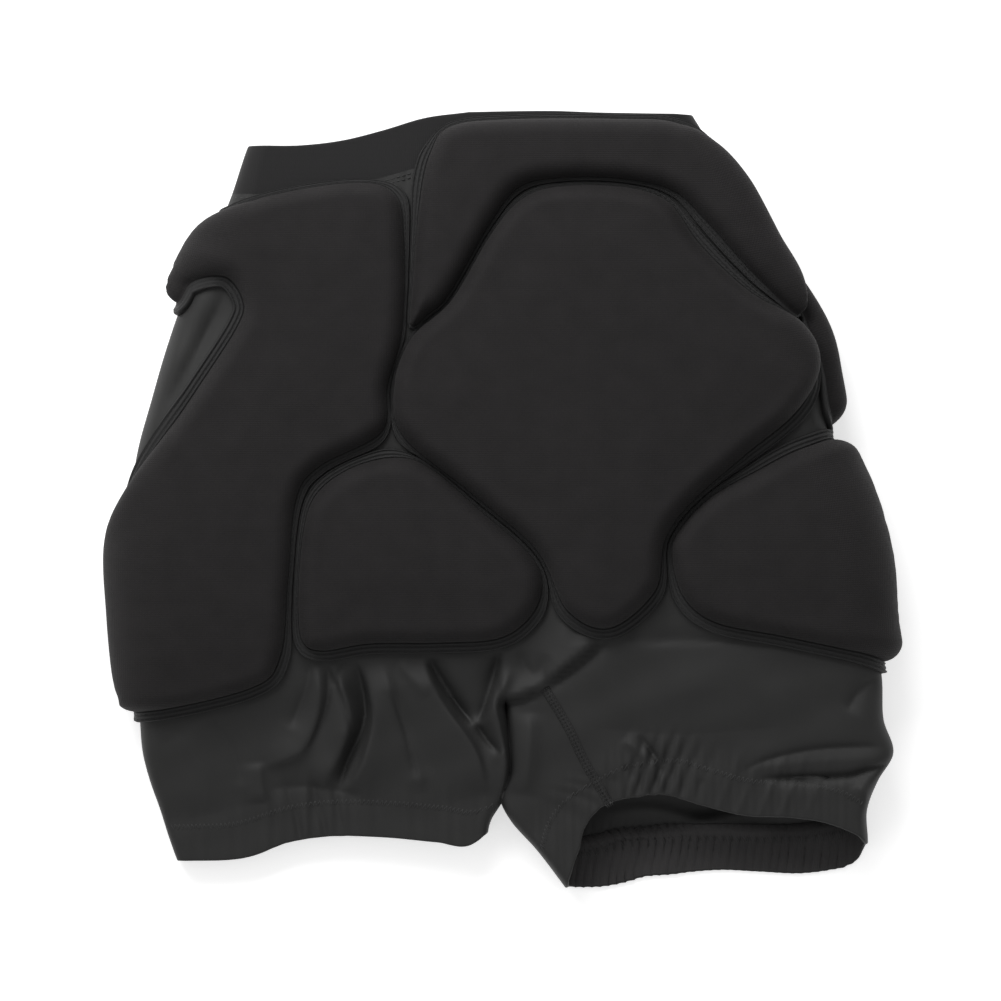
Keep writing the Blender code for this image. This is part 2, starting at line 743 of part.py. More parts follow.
def make_pad(name, collection):
    """A crowned foam pad with its thin flange, wrapped on the cloth."""
    outline = FLAT_OUTLINES[name]
    foot, outward = outline_walk(outline)
    flange = foot + outward * flange_widths(name, foot)[:, None]
    rings = [foot - outward * CROWN_RADIUS * share for share in CROWN_RINGS]
    kept = [ring[depth_inside(ring, outline) > 0.75 * CROWN_RADIUS * share]
            for ring, share in zip(rings, CROWN_RINGS)]
    flat = np.concatenate([flange, foot, *kept, inner_places(outline)])
    count = len(foot)
    edges = [(ring * count + step, ring * count + (step + 1) % count)
             for ring in range(2) for step in range(count)]
    _, _, faces, origins, *_ = delaunay_2d_cdt(stretched(flat), edges, [], 1, 1e-7)
    places = flat[[origin[0] for origin in origins]]
    depth = depth_inside(places, outline)
    base = cloth_point(places[:, 0], places[:, 1])
    base = base + SEAT_GAP * cloth_normal(places[:, 0], places[:, 1])
    mesh_data = bmesh.new()
    corners = [mesh_data.verts.new(point) for point in base]
    for face in faces:
        mesh_data.faces.new([corners[corner] for corner in face])
    piece = add_piece(name, mesh_data, PAD_LOOK, collection)
    thickness = THICKNESSES[name]
    shares = pad_height(np.where(depth < 1e-6, 0.0, depth), thickness) / thickness
    crown = piece.vertex_groups.new(name="crown")
    for place, share in enumerate(shares):
        crown.add([place], float(share), "REPLACE")
    wall = add_wall(piece, thickness, 1.0)
    wall.vertex_group = crown.name
    return piece


def rest_on_origin(collection):
    """Move everything so that the origin is under the middle of the whole thing."""
    bpy.context.view_layer.update()
    shapes = bpy.context.evaluated_depsgraph_get()
    corners = []
    for piece in collection.objects:
        evaluated = piece.evaluated_get(shapes)
        corners.extend(tuple(vertex.co) for vertex in evaluated.to_mesh().vertices)
        evaluated.to_mesh_clear()
    low = np.min(corners, axis=0)
    high = np.max(corners, axis=0)
    for piece in collection.objects:
        piece.location = (-(low[0] + high[0]) / 2.0, -(low[1] + high[1]) / 2.0, -low[2])


def build():
    """Make the whole garment."""
    clear_scene()
    collection = bpy.data.collections.new("hip_pad")
    bpy.context.scene.collection.children.link(collection)
    make_panels(collection)
    make_waistband(collection)
    make_hems(collection)
    for name in THICKNESSES:
        make_pad(name, collection)
    rest_on_origin(collection)


FLAT_OUTLINES = flat_outlines()
build()
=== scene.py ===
"""Looks of the hip pad: short stretch trousers with foam pads, lying flat with the back side up.

Metres, +Z up, the waist towards +Y. A place on the cloth has two lengths, as in the solids' source: across,
from the left edge of the spread garment, and down, from the highest point of the waist.
"""
import math

import bmesh
import bpy
import numpy as np
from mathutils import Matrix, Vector
from mathutils.geometry import delaunay_2d_cdt


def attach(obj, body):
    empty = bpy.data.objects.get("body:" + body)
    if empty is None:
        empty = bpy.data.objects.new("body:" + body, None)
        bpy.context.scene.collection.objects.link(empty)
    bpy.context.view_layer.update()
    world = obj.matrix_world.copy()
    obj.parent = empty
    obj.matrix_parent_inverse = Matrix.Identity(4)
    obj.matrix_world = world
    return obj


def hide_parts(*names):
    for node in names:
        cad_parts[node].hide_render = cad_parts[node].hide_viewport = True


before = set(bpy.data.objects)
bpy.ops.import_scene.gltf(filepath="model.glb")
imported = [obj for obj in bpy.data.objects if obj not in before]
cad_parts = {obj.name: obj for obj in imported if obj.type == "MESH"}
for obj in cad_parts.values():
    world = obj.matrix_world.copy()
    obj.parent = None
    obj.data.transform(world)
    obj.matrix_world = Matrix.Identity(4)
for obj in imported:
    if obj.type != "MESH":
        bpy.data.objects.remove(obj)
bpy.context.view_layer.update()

# Driving sizes, the same as those of the solids
WIDTH = 0.440
LENGTH = 0.429
BODY_HEIGHT = 0.032
SIDE_ROUND = 0.018
INSEAM_ROUND = 0.008
BAND_CLOTH = 0.0022
BAND_HEIGHT = 0.027
HEM_HEIGHT = 0.020
PAD_THICKNESS = 0.015
TAILBONE_THICKNESS = 0.018
DOME_RISE = 0.0015
DOME_REACH = 0.030
CROWN_RADIUS = 0.010
TWIST = 0.137
TWIST_RISE = 0.009
SEAT_GAP = 0.0009

# Thickness of the single cloth, a little less than in the solids, and the height at which it rests
CLOTH = 0.0013
LOWEST = 0.00005

# How much squarer than round the sides of the legs are, from what share of LENGTH down, and over what share
EDGE_SQUARENESS = 3.2
SQUARE_FROM = 0.79
SQUARE_REACH = 0.07

# Where the middle of the garment lies
SHIFT_X = -0.00265
SHIFT_Y = 0.00018

# Flanges that sew the pads on, and their stitches
FLANGE_WIDTH = 0.0062
FLANGE_GAP = 0.0004
FLANGE_LEAST = 0.0012
FLANGE_HEIGHT = 0.0013
FLANGE_PUFF = 0.0012
FLANGE_SMOOTHINGS = 12
FLANGE_WIDENING = 0.00005
FLANGE_ROLLS = ((0.02, 0.30, 0.9), (0.30, 0.74, 0.7), (0.74, 1.04, 1.0))
STITCH_ROWS = (0.30, 0.74)
STITCH_STEP = 0.0030
STITCH_LENGTH = 0.0021
THREAD_RADIUS = 0.00027
THREAD_LIFT = 0.00002

# Stitches of the bands: how many, and how far below the seam they start and end
ZIGZAGS = 150
ZIGZAG_ENDS = (-0.0005, 0.0028)
OVERLOCKS = 124
OVERLOCK_ENDS = (-0.0004, 0.0040)
WAIST_STITCHES = 44
WAIST_STITCH_ROWS = (0.0022, 0.0045)

# The flat seam down the inside of the right leg: its line in shares, its section and its rows of stitches
SEAM_LINE = ((0.556, 0.741), (0.585, 0.791), (0.604, 0.832), (0.622, 0.864), (0.637, 0.890))
SEAM_WIDTH = 0.0050
SEAM_STEP = 0.0015
SEAM_SECTION = (
    (-0.50, -0.3), (-0.50, 0.2), (-0.42, 0.55), (-0.25, 0.45), (-0.12, 0.65), (0.0, 0.5),
    (0.12, 0.65), (0.25, 0.45), (0.42, 0.55), (0.50, 0.2), (0.50, -0.3))
SEAM_STITCH_ROWS = ((-0.34, 0.0), (-0.10, 0.2), (0.12, -0.2), (0.36, 0.0))
SEAM_STITCH_STEP = 0.0021
SEAM_STITCH_LENGTH = 0.0015
SEAM_STITCH_LIFT = 0.0007

# Where the flanges are drawn in under their pads: the ranges across and down, and the share that is left
NARROW_FLANGES = {
    "tailbone_pad": ((0.50, 0.73), (0.05, 0.150), 0.45),
    "lumbar_pad": ((0.38, 0.80), (-0.05, 0.045), 0.40),
    "left_hip_pad": ((0.08, 0.36), (0.00, 0.135), 0.40),
}

# Folds and gathers of the cloth
FOLD_FADE = 0.006
CREASE_SHARPNESS = 1.1
RIDGE_SHARPNESS = 1.5
CREASE_WIDTH_SHARE = 0.82
GATHER_HEIGHT = 0.0015
GATHER_FADE = 0.022
TUCK = 0.0008
TUCKED_THICKNESS = 0.0013
RIPPLE_HEIGHT = 0.0005
FRONT_LIFT = 0.0005

# Waves of the gathered hems: size, radians for the whole width, and start
WAVES = {
    "left": ((0.55, 250.0, 0.6), (0.45, 391.0, 1.9), (0.35, 163.0, 4.0)),
    "right": ((0.40, 330.0, 2.2), (0.40, 610.0, 0.4), (0.25, 211.0, 1.1)),
}

# Strength of those waves: all along, and more round a place within a reach
GATHER_STRENGTHS = {"left": (0.08, 0.34, 0.265, 0.050), "right": (0.09, 0.28, 0.690, 0.060)}

# Single streaks of the hems: place across, and size, less than 0 where it is a crease
STREAK_WIDTH = 0.0050
STREAKS = {
    "left": ((0.216, -1.9), (0.240, -1.9), (0.271, -1.9), (0.294, -1.9)),
    "right": (
        (0.572, -1.8), (0.590, -2.4), (0.606, -2.0), (0.622, -1.8), (0.668, -1.6),
        (0.686, -2.4), (0.706, -3.2), (0.723, -2.8), (0.741, -2.4), (0.760, -1.6),
        (0.790, 1.8), (0.815, 2.2), (0.842, 2.2), (0.868, 1.8), (0.898, 1.4)),
}

# Shares of the width and of the length
CENTRE_TOP = 0.460
CROTCH_ACROSS = 0.507
CROTCH_DOWN = 0.763
CROTCH_SIDE = {"left": 0.699, "right": 0.712}
RAISE_ACROSS = (0.456, 0.569)
RAISE_DOWN = (0.776, 0.923)
HEIGHT_CHANGE = (0.25, 0.80)

# Fineness of the meshes
CURVE_STEPS = 24
OUTLINE_STEP = 0.0019
TOP_STEP = 0.0042
UNDER_STEP = 0.0055
FLANGE_RINGS = (1.0, 0.97, 0.90, 0.82, 0.74, 0.62, 0.50, 0.40, 0.30, 0.18, 0.08, 0.0)
CROWN_RINGS = (0.02, 0.06, 0.12, 0.20, 0.30, 0.42, 0.56, 0.72, 0.88, 1.05, 1.30)
PANEL_FINENESS = {"back": (36, 60, 168), "front": (44, 54, 110)}

# The picture: metres for each pixel, its side, and the pixels left of and above the garment
PIXEL_SIZE = 0.00055
PICTURE_SIZE = 1001
GARMENT_LEFT = 100
GARMENT_TOP = 110
CAMERA_HEIGHT = 5.0
SENSOR_WIDTH = 36.0
MIDDLE_HEIGHT = 0.030

HALVES = ("left", "right")
LAYERS = {"back": 1, "front": -1}


def named_columns(names, rows):
    """Give a table's columns by name."""
    return {name: np.array([row[place] for row in rows]) for place, name in enumerate(names)}


# The silhouette of the cloth in shares of LENGTH and WIDTH, read a little more finely than for the solids
SIDES = named_columns(("down", "left", "right"), [
    (0.004, 0.201, 0.739),
    (0.045, 0.184, 0.764),
    (0.115, 0.161, 0.812),
    (0.179, 0.134, 0.838),
    (0.244, 0.103, 0.866),
    (0.308, 0.081, 0.893),
    (0.372, 0.063, 0.905),
    (0.436, 0.046, 0.914),
    (0.500, 0.037, 0.940),
    (0.577, 0.033, 0.960),
    (0.654, 0.037, 0.966),
    (0.731, 0.044, 0.978),
    (0.782, 0.048, 0.980),
    (0.827, 0.052, 0.992),
    (0.859, 0.060, 0.974),
    (0.897, 0.073, 0.960),
    (0.936, 0.085, 0.961),
    (1.000, 0.108, 0.961),
])

# The inner edges of the two legs, from the crotch down
INSEAMS = named_columns(("down", "left", "right"), [
    (0.763, 0.507, 0.507),
    (0.785, 0.510, 0.509),
    (0.814, 0.513, 0.511),
    (0.846, 0.514, 0.512),
    (0.888, 0.503, 0.501),
    (0.912, 0.489, 0.513),
    (0.949, 0.483, 0.545),
    (1.000, 0.476, 0.583),
])

# How far down the waist edge lies; share runs from the side, 0, to the centre line, 1
WAIST = named_columns(("share", "left", "right"), [
    (0.00, 0.044, 0.005),
    (0.25, 0.044, 0.004),
    (0.42, 0.038, 0.003),
    (0.60, 0.025, 0.001),
    (0.78, 0.010, 0.001),
    (1.00, 0.002, 0.002),
])

# How far down the hem edges lie, on the back layer above and the front layer under it
HEMS = {
    "left": named_columns(("share", "back", "front"), [
        (0.00, 0.965, 0.965),
        (0.25, 0.958, 0.954),
        (0.37, 0.941, 0.937),
        (0.47, 0.934, 0.930),
        (0.68, 0.934, 0.930),
        (0.84, 0.940, 0.936),
        (0.95, 0.943, 0.940),
        (1.00, 0.929, 0.929),
    ]),
    "right": named_columns(("share", "back", "front"), [
        (0.00, 0.942, 0.942),
        (0.02, 0.934, 0.959),
        (0.06, 0.924, 0.971),
        (0.12, 0.914, 0.977),
        (0.20, 0.908, 0.981),
        (0.35, 0.904, 0.979),
        (0.46, 0.891, 0.977),
        (0.57, 0.878, 0.980),
        (0.63, 0.881, 0.983),
        (0.72, 0.892, 0.986),
        (0.79, 0.916, 0.993),
        (0.86, 0.945, 0.998),
        (1.00, 1.000, 1.000),
    ]),
}

# Roundness of the sides in shares of SIDE_ROUND, and height of each half's back in shares of BODY_HEIGHT
HEIGHTS = named_columns(("down", "round", "left", "right"), [
    (0.00, 0.55, 0.70, 1.15),
    (0.15, 0.80, 0.90, 1.22),
    (0.35, 1.00, 1.00, 1.25),
    (0.65, 0.95, 0.95, 1.25),
    (0.80, 0.70, 0.70, 1.12),
    (0.90, 0.50, 0.52, 1.00),
    (1.00, 0.45, 0.45, 0.95),
])

# Folds of the back: height and the widths on the clockwise and the other side, in millimetres, and then
# the line that each follows, in shares of WIDTH across and LENGTH down
BACK_FOLDS = [
    ("valley beside the hip pad", -2.6, 5, 4, (0.262, 0.702), (0.258, 0.740), (0.236, 0.796)),
    ("arc fold", 3.4, 9, 2.6, (0.271, 0.706), (0.274, 0.750), (0.267, 0.792), (0.252, 0.822),
     (0.218, 0.838), (0.198, 0.843)),
    ("corner of the arc fold", 2.2, 9, 2.4, (0.199, 0.836), (0.201, 0.862), (0.204, 0.890)),
    ("ridge left of the crease", 6.2, 9, 4.2, (0.290, 0.705), (0.310, 0.773), (0.300, 0.824),
     (0.272, 0.874)),
    ("deep crease", -7.0, 8, 2.4, (0.317, 0.702), (0.330, 0.745), (0.330, 0.787), (0.308, 0.840),
     (0.295, 0.880)),
    ("ridge right of the crease", 4.6, 2.6, 12, (0.326, 0.712), (0.342, 0.775), (0.330, 0.835),
     (0.308, 0.880)),
    ("fold from the seat pad", -2.0, 2.2, 4, (0.318, 0.700), (0.300, 0.716), (0.294, 0.742)),
    ("edge of the arc fold", -2.6, 1.8, 2.8, (0.283, 0.710), (0.284, 0.756), (0.268, 0.804),
     (0.250, 0.830)),
    ("shade by the deep crease", -3.2, 5, 3, (0.280, 0.708), (0.294, 0.738), (0.308, 0.772),
     (0.314, 0.800)),
    ("soft roll", 3.6, 8, 4, (0.352, 0.705), (0.370, 0.770), (0.396, 0.842), (0.402, 0.880)),
    ("hollow of the roll", -4.2, 4, 7, (0.362, 0.740), (0.382, 0.800), (0.396, 0.862)),
    ("ridge left of the recess", 5.4, 13, 3.0, (0.400, 0.700), (0.424, 0.755), (0.468, 0.822),
     (0.482, 0.880)),
    ("small ridge by the seat pad", 1.8, 3, 5, (0.372, 0.706), (0.390, 0.728), (0.412, 0.752)),
    ("crease left of the recess", -6.6, 2.4, 5, (0.408, 0.696), (0.420, 0.722), (0.446, 0.762),
     (0.470, 0.792)),
    ("crease right of the recess", -6.6, 6, 2.4, (0.502, 0.690), (0.493, 0.722), (0.481, 0.762),
     (0.470, 0.790)),
    ("crease under the recess", -4.2, 2.6, 4, (0.468, 0.785), (0.484, 0.808), (0.502, 0.828)),
    ("fold over the right leg", 6.0, 7, 3.0, (0.516, 0.712), (0.505, 0.738), (0.494, 0.762),
     (0.500, 0.795), (0.507, 0.840), (0.500, 0.885)),
    ("shade above the hem", -1.6, 7, 5, (0.205, 0.872), (0.260, 0.868), (0.330, 0.880)),
    ("shallow fold of the outer leg", 1.6, 14, 9, (0.092, 0.800), (0.128, 0.850), (0.140, 0.905)),
    ("shallow fold beside it", -1.8, 10, 6, (0.140, 0.775), (0.166, 0.825), (0.178, 0.870)),
    ("edge of the flap", 5.6, 14, 2.4, (0.640, 0.652), (0.616, 0.683), (0.566, 0.724), (0.548, 0.738)),
    ("end of the flap", 4.6, 8, 2.4, (0.560, 0.733), (0.528, 0.748), (0.500, 0.756)),
    ("crease under the flap", -3.4, 2.4, 3.5, (0.645, 0.660), (0.622, 0.690), (0.572, 0.731),
     (0.552, 0.745)),
    ("crease under the end of the flap", -3.0, 2.4, 3.5, (0.556, 0.742), (0.528, 0.757), (0.502, 0.764)),
    ("roll of the flap", -2.2, 5, 5, (0.524, 0.688), (0.530, 0.712), (0.545, 0.722), (0.562, 0.698)),
    ("pull under the tailbone pad", -2.4, 2.4, 3.5, (0.634, 0.676), (0.700, 0.679), (0.785, 0.679),
     (0.851, 0.691)),
    ("slack of the right leg", 1.8, 26, 22, (0.660, 0.760), (0.780, 0.740), (0.900, 0.745)),
    ("hollow of the right leg", -1.4, 20, 16, (0.600, 0.790), (0.720, 0.800), (0.860, 0.790)),
    ("dent below the seat pad", -2.4, 4, 6, (0.972, 0.725), (0.946, 0.748), (0.932, 0.772)),
    ("upper wrinkle of the right leg", -2.4, 7, 2.4, (0.795, 0.852), (0.835, 0.832), (0.900, 0.818),
     (0.985, 0.815)),
    ("ridge of the right leg", 0.9, 4, 6, (0.800, 0.846), (0.880, 0.836), (0.985, 0.830)),
    ("lower wrinkle of the right leg", -5.0, 4.0, 2.2, (0.820, 0.857), (0.925, 0.854), (0.957, 0.847),
     (0.998, 0.834)),
    ("fold of the inner leg", 3.6, 7, 6, (0.538, 0.770), (0.536, 0.830), (0.530, 0.880)),
    ("gather beside the seam", -3.4, 2.6, 2.4, (0.672, 0.800), (0.693, 0.828), (0.709, 0.866),
     (0.712, 0.884)),
    ("ridge beside the seam", 2.0, 2.6, 6, (0.652, 0.806), (0.676, 0.826), (0.694, 0.862)),
    ("small gather", -2.2, 2.4, 2.4, (0.656, 0.838), (0.668, 0.860), (0.674, 0.880)),
    ("second small gather", -2.0, 2.4, 2.4, (0.640, 0.852), (0.652, 0.880), (0.656, 0.900)),
    ("third small gather", -2.2, 2.4, 3, (0.724, 0.862), (0.728, 0.882), (0.722, 0.898)),
    ("fourth small gather", -1.9, 2.4, 3, (0.752, 0.856), (0.746, 0.876), (0.740, 0.892)),
    ("fold at the outer corner", 2.6, 4, 5, (0.946, 0.862), (0.958, 0.882), (0.962, 0.905)),
    ("valley in the notch", -3.2, 6, 8, (0.160, 0.232), (0.120, 0.310), (0.068, 0.430)),
    ("ridge at the left edge", 1.6, 6, 5, (0.108, 0.275), (0.085, 0.345), (0.060, 0.430)),
    ("pull below the waistband", 1.4, 3, 3, (0.355, 0.095), (0.378, 0.085), (0.400, 0.088)),
    ("second pull below the waistband", -1.4, 3, 3, (0.345, 0.102), (0.376, 0.096), (0.396, 0.100)),
    ("ridge between the seat pads", 1.8, 3, 4, (0.366, 0.434), (0.410, 0.462), (0.470, 0.512),
     (0.540, 0.572), (0.585, 0.650)),
    ("folds right of the tailbone pad", 2.0, 4, 3, (0.905, 0.330), (0.898, 0.380), (0.868, 0.420)),
    ("crease right of the tailbone pad", -2.0, 3, 3, (0.918, 0.345), (0.912, 0.380), (0.888, 0.418)),
]

# Folds of the front, which shows inside the right leg and underneath
FRONT_FOLDS = [
    ("band inside the right leg", 3.4, 5, 5, (0.620, 0.905), (0.690, 0.900), (0.770, 0.918),
     (0.860, 0.922)),
    ("roll inside the right leg", 2.6, 4, 4, (0.640, 0.930), (0.720, 0.925), (0.800, 0.905),
     (0.900, 0.900)),
    ("slack inside the right leg", 2.0, 6, 6, (0.600, 0.880), (0.700, 0.870), (0.900, 0.880)),
    ("pull from the crotch", 1.6, 6, 9, (0.480, 0.700), (0.360, 0.640), (0.240, 0.600)),
    ("second pull from the crotch", 1.4, 8, 6, (0.470, 0.730), (0.340, 0.740), (0.180, 0.760)),
    ("slack of the front", 1.8, 16, 12, (0.140, 0.300), (0.230, 0.400), (0.380, 0.430)),
    ("slack by the waist", 1.5, 10, 8, (0.250, 0.120), (0.300, 0.220), (0.400, 0.280)),
]

# Outlines of the pads on the flat cloth, in shares of WIDTH across and LENGTH down
OUTLINES = {
    "tailbone_pad": named_columns(("across", "down"), [
        (0.575, 0.099), (0.656, 0.100), (0.710, 0.119), (0.748, 0.172), (0.803, 0.227), (0.869, 0.274),
        (0.893, 0.327), (0.869, 0.387), (0.806, 0.442), (0.738, 0.504), (0.706, 0.551), (0.694, 0.615),
        (0.638, 0.663), (0.585, 0.641), (0.546, 0.564), (0.463, 0.490), (0.379, 0.418), (0.368, 0.353),
        (0.390, 0.292), (0.440, 0.244), (0.490, 0.159), (0.528, 0.115),
    ]),
    "lumbar_pad": named_columns(("across", "down"), [
        (0.391, 0.224), (0.400, 0.122), (0.413, 0.058), (0.440, 0.021), (0.525, 0.012), (0.650, 0.012),
        (0.719, 0.017), (0.762, 0.047), (0.806, 0.098), (0.845, 0.168), (0.875, 0.218), (0.878, 0.262),
        (0.856, 0.253), (0.803, 0.195), (0.756, 0.141), (0.715, 0.104), (0.650, 0.089), (0.575, 0.088),
        (0.523, 0.101), (0.486, 0.150), (0.436, 0.238), (0.411, 0.262), (0.389, 0.277),
    ]),
    "left_hip_pad": named_columns(("across", "down"), [
        (0.210, 0.111), (0.319, 0.094), (0.369, 0.109), (0.380, 0.167), (0.378, 0.282), (0.360, 0.353),
        (0.352, 0.413), (0.273, 0.458), (0.245, 0.500), (0.235, 0.603), (0.225, 0.699), (0.188, 0.740),
        (0.052, 0.771), (0.027, 0.752), (0.013, 0.712), (0.006, 0.640), (0.003, 0.556), (0.040, 0.484),
        (0.121, 0.360), (0.173, 0.277), (0.179, 0.244), (0.156, 0.214), (0.113, 0.223), (0.098, 0.243),
        (0.085, 0.249), (0.079, 0.231), (0.089, 0.200), (0.110, 0.168), (0.152, 0.137),
    ]),
    "left_seat_pad": named_columns(("across", "down"), [
        (0.369, 0.446), (0.413, 0.459), (0.475, 0.513), (0.535, 0.567), (0.553, 0.605), (0.540, 0.646),
        (0.500, 0.676), (0.425, 0.682), (0.338, 0.683), (0.278, 0.692), (0.253, 0.679), (0.248, 0.628),
        (0.254, 0.545), (0.270, 0.494), (0.313, 0.460),
    ]),
    "right_seat_pad": named_columns(("across", "down"), [
        (0.714, 0.567), (0.728, 0.533), (0.765, 0.495), (0.819, 0.464), (0.875, 0.435), (0.925, 0.424),
        (0.969, 0.451), (1.006, 0.513), (1.025, 0.590), (1.025, 0.673), (1.000, 0.708), (0.938, 0.692),
        (0.850, 0.673), (0.769, 0.656), (0.729, 0.623),
    ]),
}
THICKNESSES = {
    "tailbone_pad": TAILBONE_THICKNESS,
    "lumbar_pad": PAD_THICKNESS,
    "left_hip_pad": PAD_THICKNESS,
    "right_hip_pad": PAD_THICKNESS,
    "left_seat_pad": PAD_THICKNESS,
    "right_seat_pad": PAD_THICKNESS,
}


# Small mathematics

def smooth_step(value):
    """Rise smoothly from 0 to 1 as the value does."""
    value = np.clip(value, 0.0, 1.0)
    return value * value * (3.0 - 2.0 * value)


def smooth_through(places, values, wanted):
    """Read a smooth curve that goes through a table's values."""
    slopes = np.gradient(values, places)
    wanted = np.clip(wanted, places[0], places[-1])
    start = np.clip(np.searchsorted(places, wanted) - 1, 0, len(places) - 2)
    span = places[start + 1] - places[start]
    part = (wanted - places[start]) / span
    rising = smooth_step(part)
    leaving = part * (1.0 - part) ** 2 * span * slopes[start]
    arriving = part ** 2 * (1.0 - part) * span * slopes[start + 1]
    return values[start] + (values[start + 1] - values[start]) * rising + leaving - arriving


def spline_points(corners, before, after, beyond, steps):
    """Points of a smooth curve between corners, given each one's neighbours."""
    points = []
    for step in range(steps):
        part = step / steps
        points.append(0.5 * (
            2.0 * corners + (after - before) * part
            + (2.0 * before - 5.0 * corners + 4.0 * after - beyond) * part ** 2
            + (3.0 * corners - before - 3.0 * after + beyond) * part ** 3))
    return np.stack(points, axis=1).reshape(-1, 2)


def closed_curve(corners):
    """Draw a closed smooth curve through the corners of an outline."""
    return spline_points(corners, np.roll(corners, 1, axis=0), np.roll(corners, -1, axis=0),
                         np.roll(corners, -2, axis=0), CURVE_STEPS)


def open_curve(corners, steps=8):
    """Draw an open smooth curve through corners."""
    padded = np.concatenate([2.0 * corners[:1] - corners[1:2], corners, 2.0 * corners[-1:] - corners[-2:-1]])
    curve = spline_points(padded[1:-2], padded[:-3], padded[2:-1], padded[3:], steps)
    return np.concatenate([curve, corners[-1:]])


def evenly(line, step, closed):
    """Places at even distances along a line."""
    if closed:
        line = np.concatenate([line, line[:1]])
    lengths = lengths_along(line)
    count = max(int(round(lengths[-1] / step)), 2)
    wanted = np.linspace(0.0, lengths[-1], count + 1)
    if closed:
        wanted = wanted[:-1]
    return np.stack([np.interp(wanted, lengths, line[:, axis]) for axis in range(line.shape[1])], axis=1)


def unit(vectors):
    """Directions of vectors, each with a length of 1."""
    return vectors / np.linalg.norm(vectors, axis=-1, keepdims=True)


def lengths_along(line):
    """Distance of each point of a line from its start, along the line."""
    return np.concatenate([[0.0], np.cumsum(np.linalg.norm(np.diff(line, axis=0), axis=1))])


def depth_inside(points, outline):
    """Distance of plan points from a closed outline, more than 0 inside it."""
    found = []
    for start in range(0, len(points), 20000):
        found.append(depth_of_some(points[start:start + 20000], outline))
    return np.concatenate(found)


def depth_of_some(points, outline):
    """The same for few points at a time."""
    ends = np.roll(outline, -1, axis=0)
    gaps = np.full(len(points), 1.0)
    inside = np.zeros(len(points), bool)
    for start, end in zip(outline, ends):
        edge = end - start
        offsets = points - start
        part = np.clip((offsets @ edge) / (edge @ edge), 0.0, 1.0)
        gaps = np.minimum(gaps, np.hypot(offsets[:, 0] - part * edge[0], offsets[:, 1] - part * edge[1]))
        if start[1] != end[1]:
            crosses = (start[1] > points[:, 1]) != (end[1] > points[:, 1])
            inside ^= crosses & (points[:, 0] < start[0] + offsets[:, 1] * edge[0] / edge[1])
    return np.where(inside, gaps, -gaps)


# The shape of the cloth

def at_down(table, column, down):
    """Read a column of a table by how far down a place lies."""
    return smooth_through(table["down"] * LENGTH, table[column], down)


def side(half, down):
    """How far across the silhouette of one half lies."""
    return WIDTH * at_down(SIDES, half, down)


def inside_edge(half, down):
    """How far across the centre line lies and, below the crotch, the inner edge of one leg."""
    centre = WIDTH * (CENTRE_TOP + (CROTCH_ACROSS - CENTRE_TOP) * down / (CROTCH_DOWN * LENGTH))
    leg = WIDTH * at_down(INSEAMS, half, down)
    return np.where(down < CROTCH_DOWN * LENGTH, centre, leg)


def roundness(down):
    """Radius with which the cloth turns round the sides."""
    return SIDE_ROUND * at_down(HEIGHTS, "round", down)


def floor_height(across, down):
    """Height of the under layer: 0, and higher where the right hip pad lies under it."""
    start, end = RAISE_ACROSS
    fade_start, fade_end = RAISE_DOWN
    along = smooth_step((across / WIDTH - start) / (end - start))
    fade = 1.0 - smooth_step((down / LENGTH - fade_start) / (fade_end - fade_start))
    return (THICKNESSES["right_hip_pad"] + SEAT_GAP) * along * fade


def back_height(across, down):
    """Height of the upper layer."""
    start, end = HEIGHT_CHANGE
    change = smooth_step((across / WIDTH - start) / (end - start))
    left = at_down(HEIGHTS, "left", down)
    right = at_down(HEIGHTS, "right", down)
    return BODY_HEIGHT * (left + (right - left) * change)


def inseam_openness(across, down):
    """0 where the two layers meet along the inner legs, 1 away from there."""
    left = inside_edge("left", down)
    right = inside_edge("right", down)
    level = np.where(across < (left + right) / 2.0, left - across, across - right)
    below = down - CROTCH_DOWN * LENGTH
    to_crotch = np.hypot(across - CROTCH_ACROSS * WIDTH, below)
    gap = np.where(below > 0.0, np.maximum(level, 0.0), to_crotch)
    closeness = 1.0 - np.minimum(gap / INSEAM_ROUND, 1.0)
    return (1.0 - closeness ** EDGE_SQUARENESS) ** (1.0 / EDGE_SQUARENESS)


def fold_height(across, down, folds):
    """Height that a list of folds adds to the cloth."""
    total = np.zeros_like(across)
    points = np.stack([across.ravel(), down.ravel()], axis=1)
    for _, height, clockwise, other, *corners in folds:
        line = open_curve(np.array(corners) * (WIDTH, LENGTH))
        lengths = lengths_along(line)
        nearest = np.full(len(points), 1.0)
        beside = np.zeros(len(points))
        along = np.zeros(len(points))
        for place, (start, end) in enumerate(zip(line, line[1:])):
            edge = end - start
            size = lengths[place + 1] - lengths[place]
            offsets = points - start
            part = np.clip((offsets @ edge) / size ** 2, 0.0, 1.0)
            away = np.hypot(offsets[:, 0] - part * edge[0], offsets[:, 1] - part * edge[1])
            turned = edge[0] * offsets[:, 1] - edge[1] * offsets[:, 0]
            closer = away < nearest
            nearest = np.where(closer, away, nearest)
            beside = np.where(closer, np.copysign(away, turned), beside)
            along = np.where(closer, (lengths[place] + part * size) / lengths[-1], along)
        width = np.where(beside > 0.0, clockwise, other) / 1000.0
        if height < 0.0:
            width = width * CREASE_WIDTH_SHARE
        ends = smooth_step(1.0 - np.abs(2.0 * along - 1.0) ** 3)
        sharpness = CREASE_SHARPNESS if height < 0.0 else RIDGE_SHARPNESS
        rise = height / 1000.0 * ends * np.exp(-np.abs(beside / width) ** sharpness)
        total += rise.reshape(across.shape)
    return total


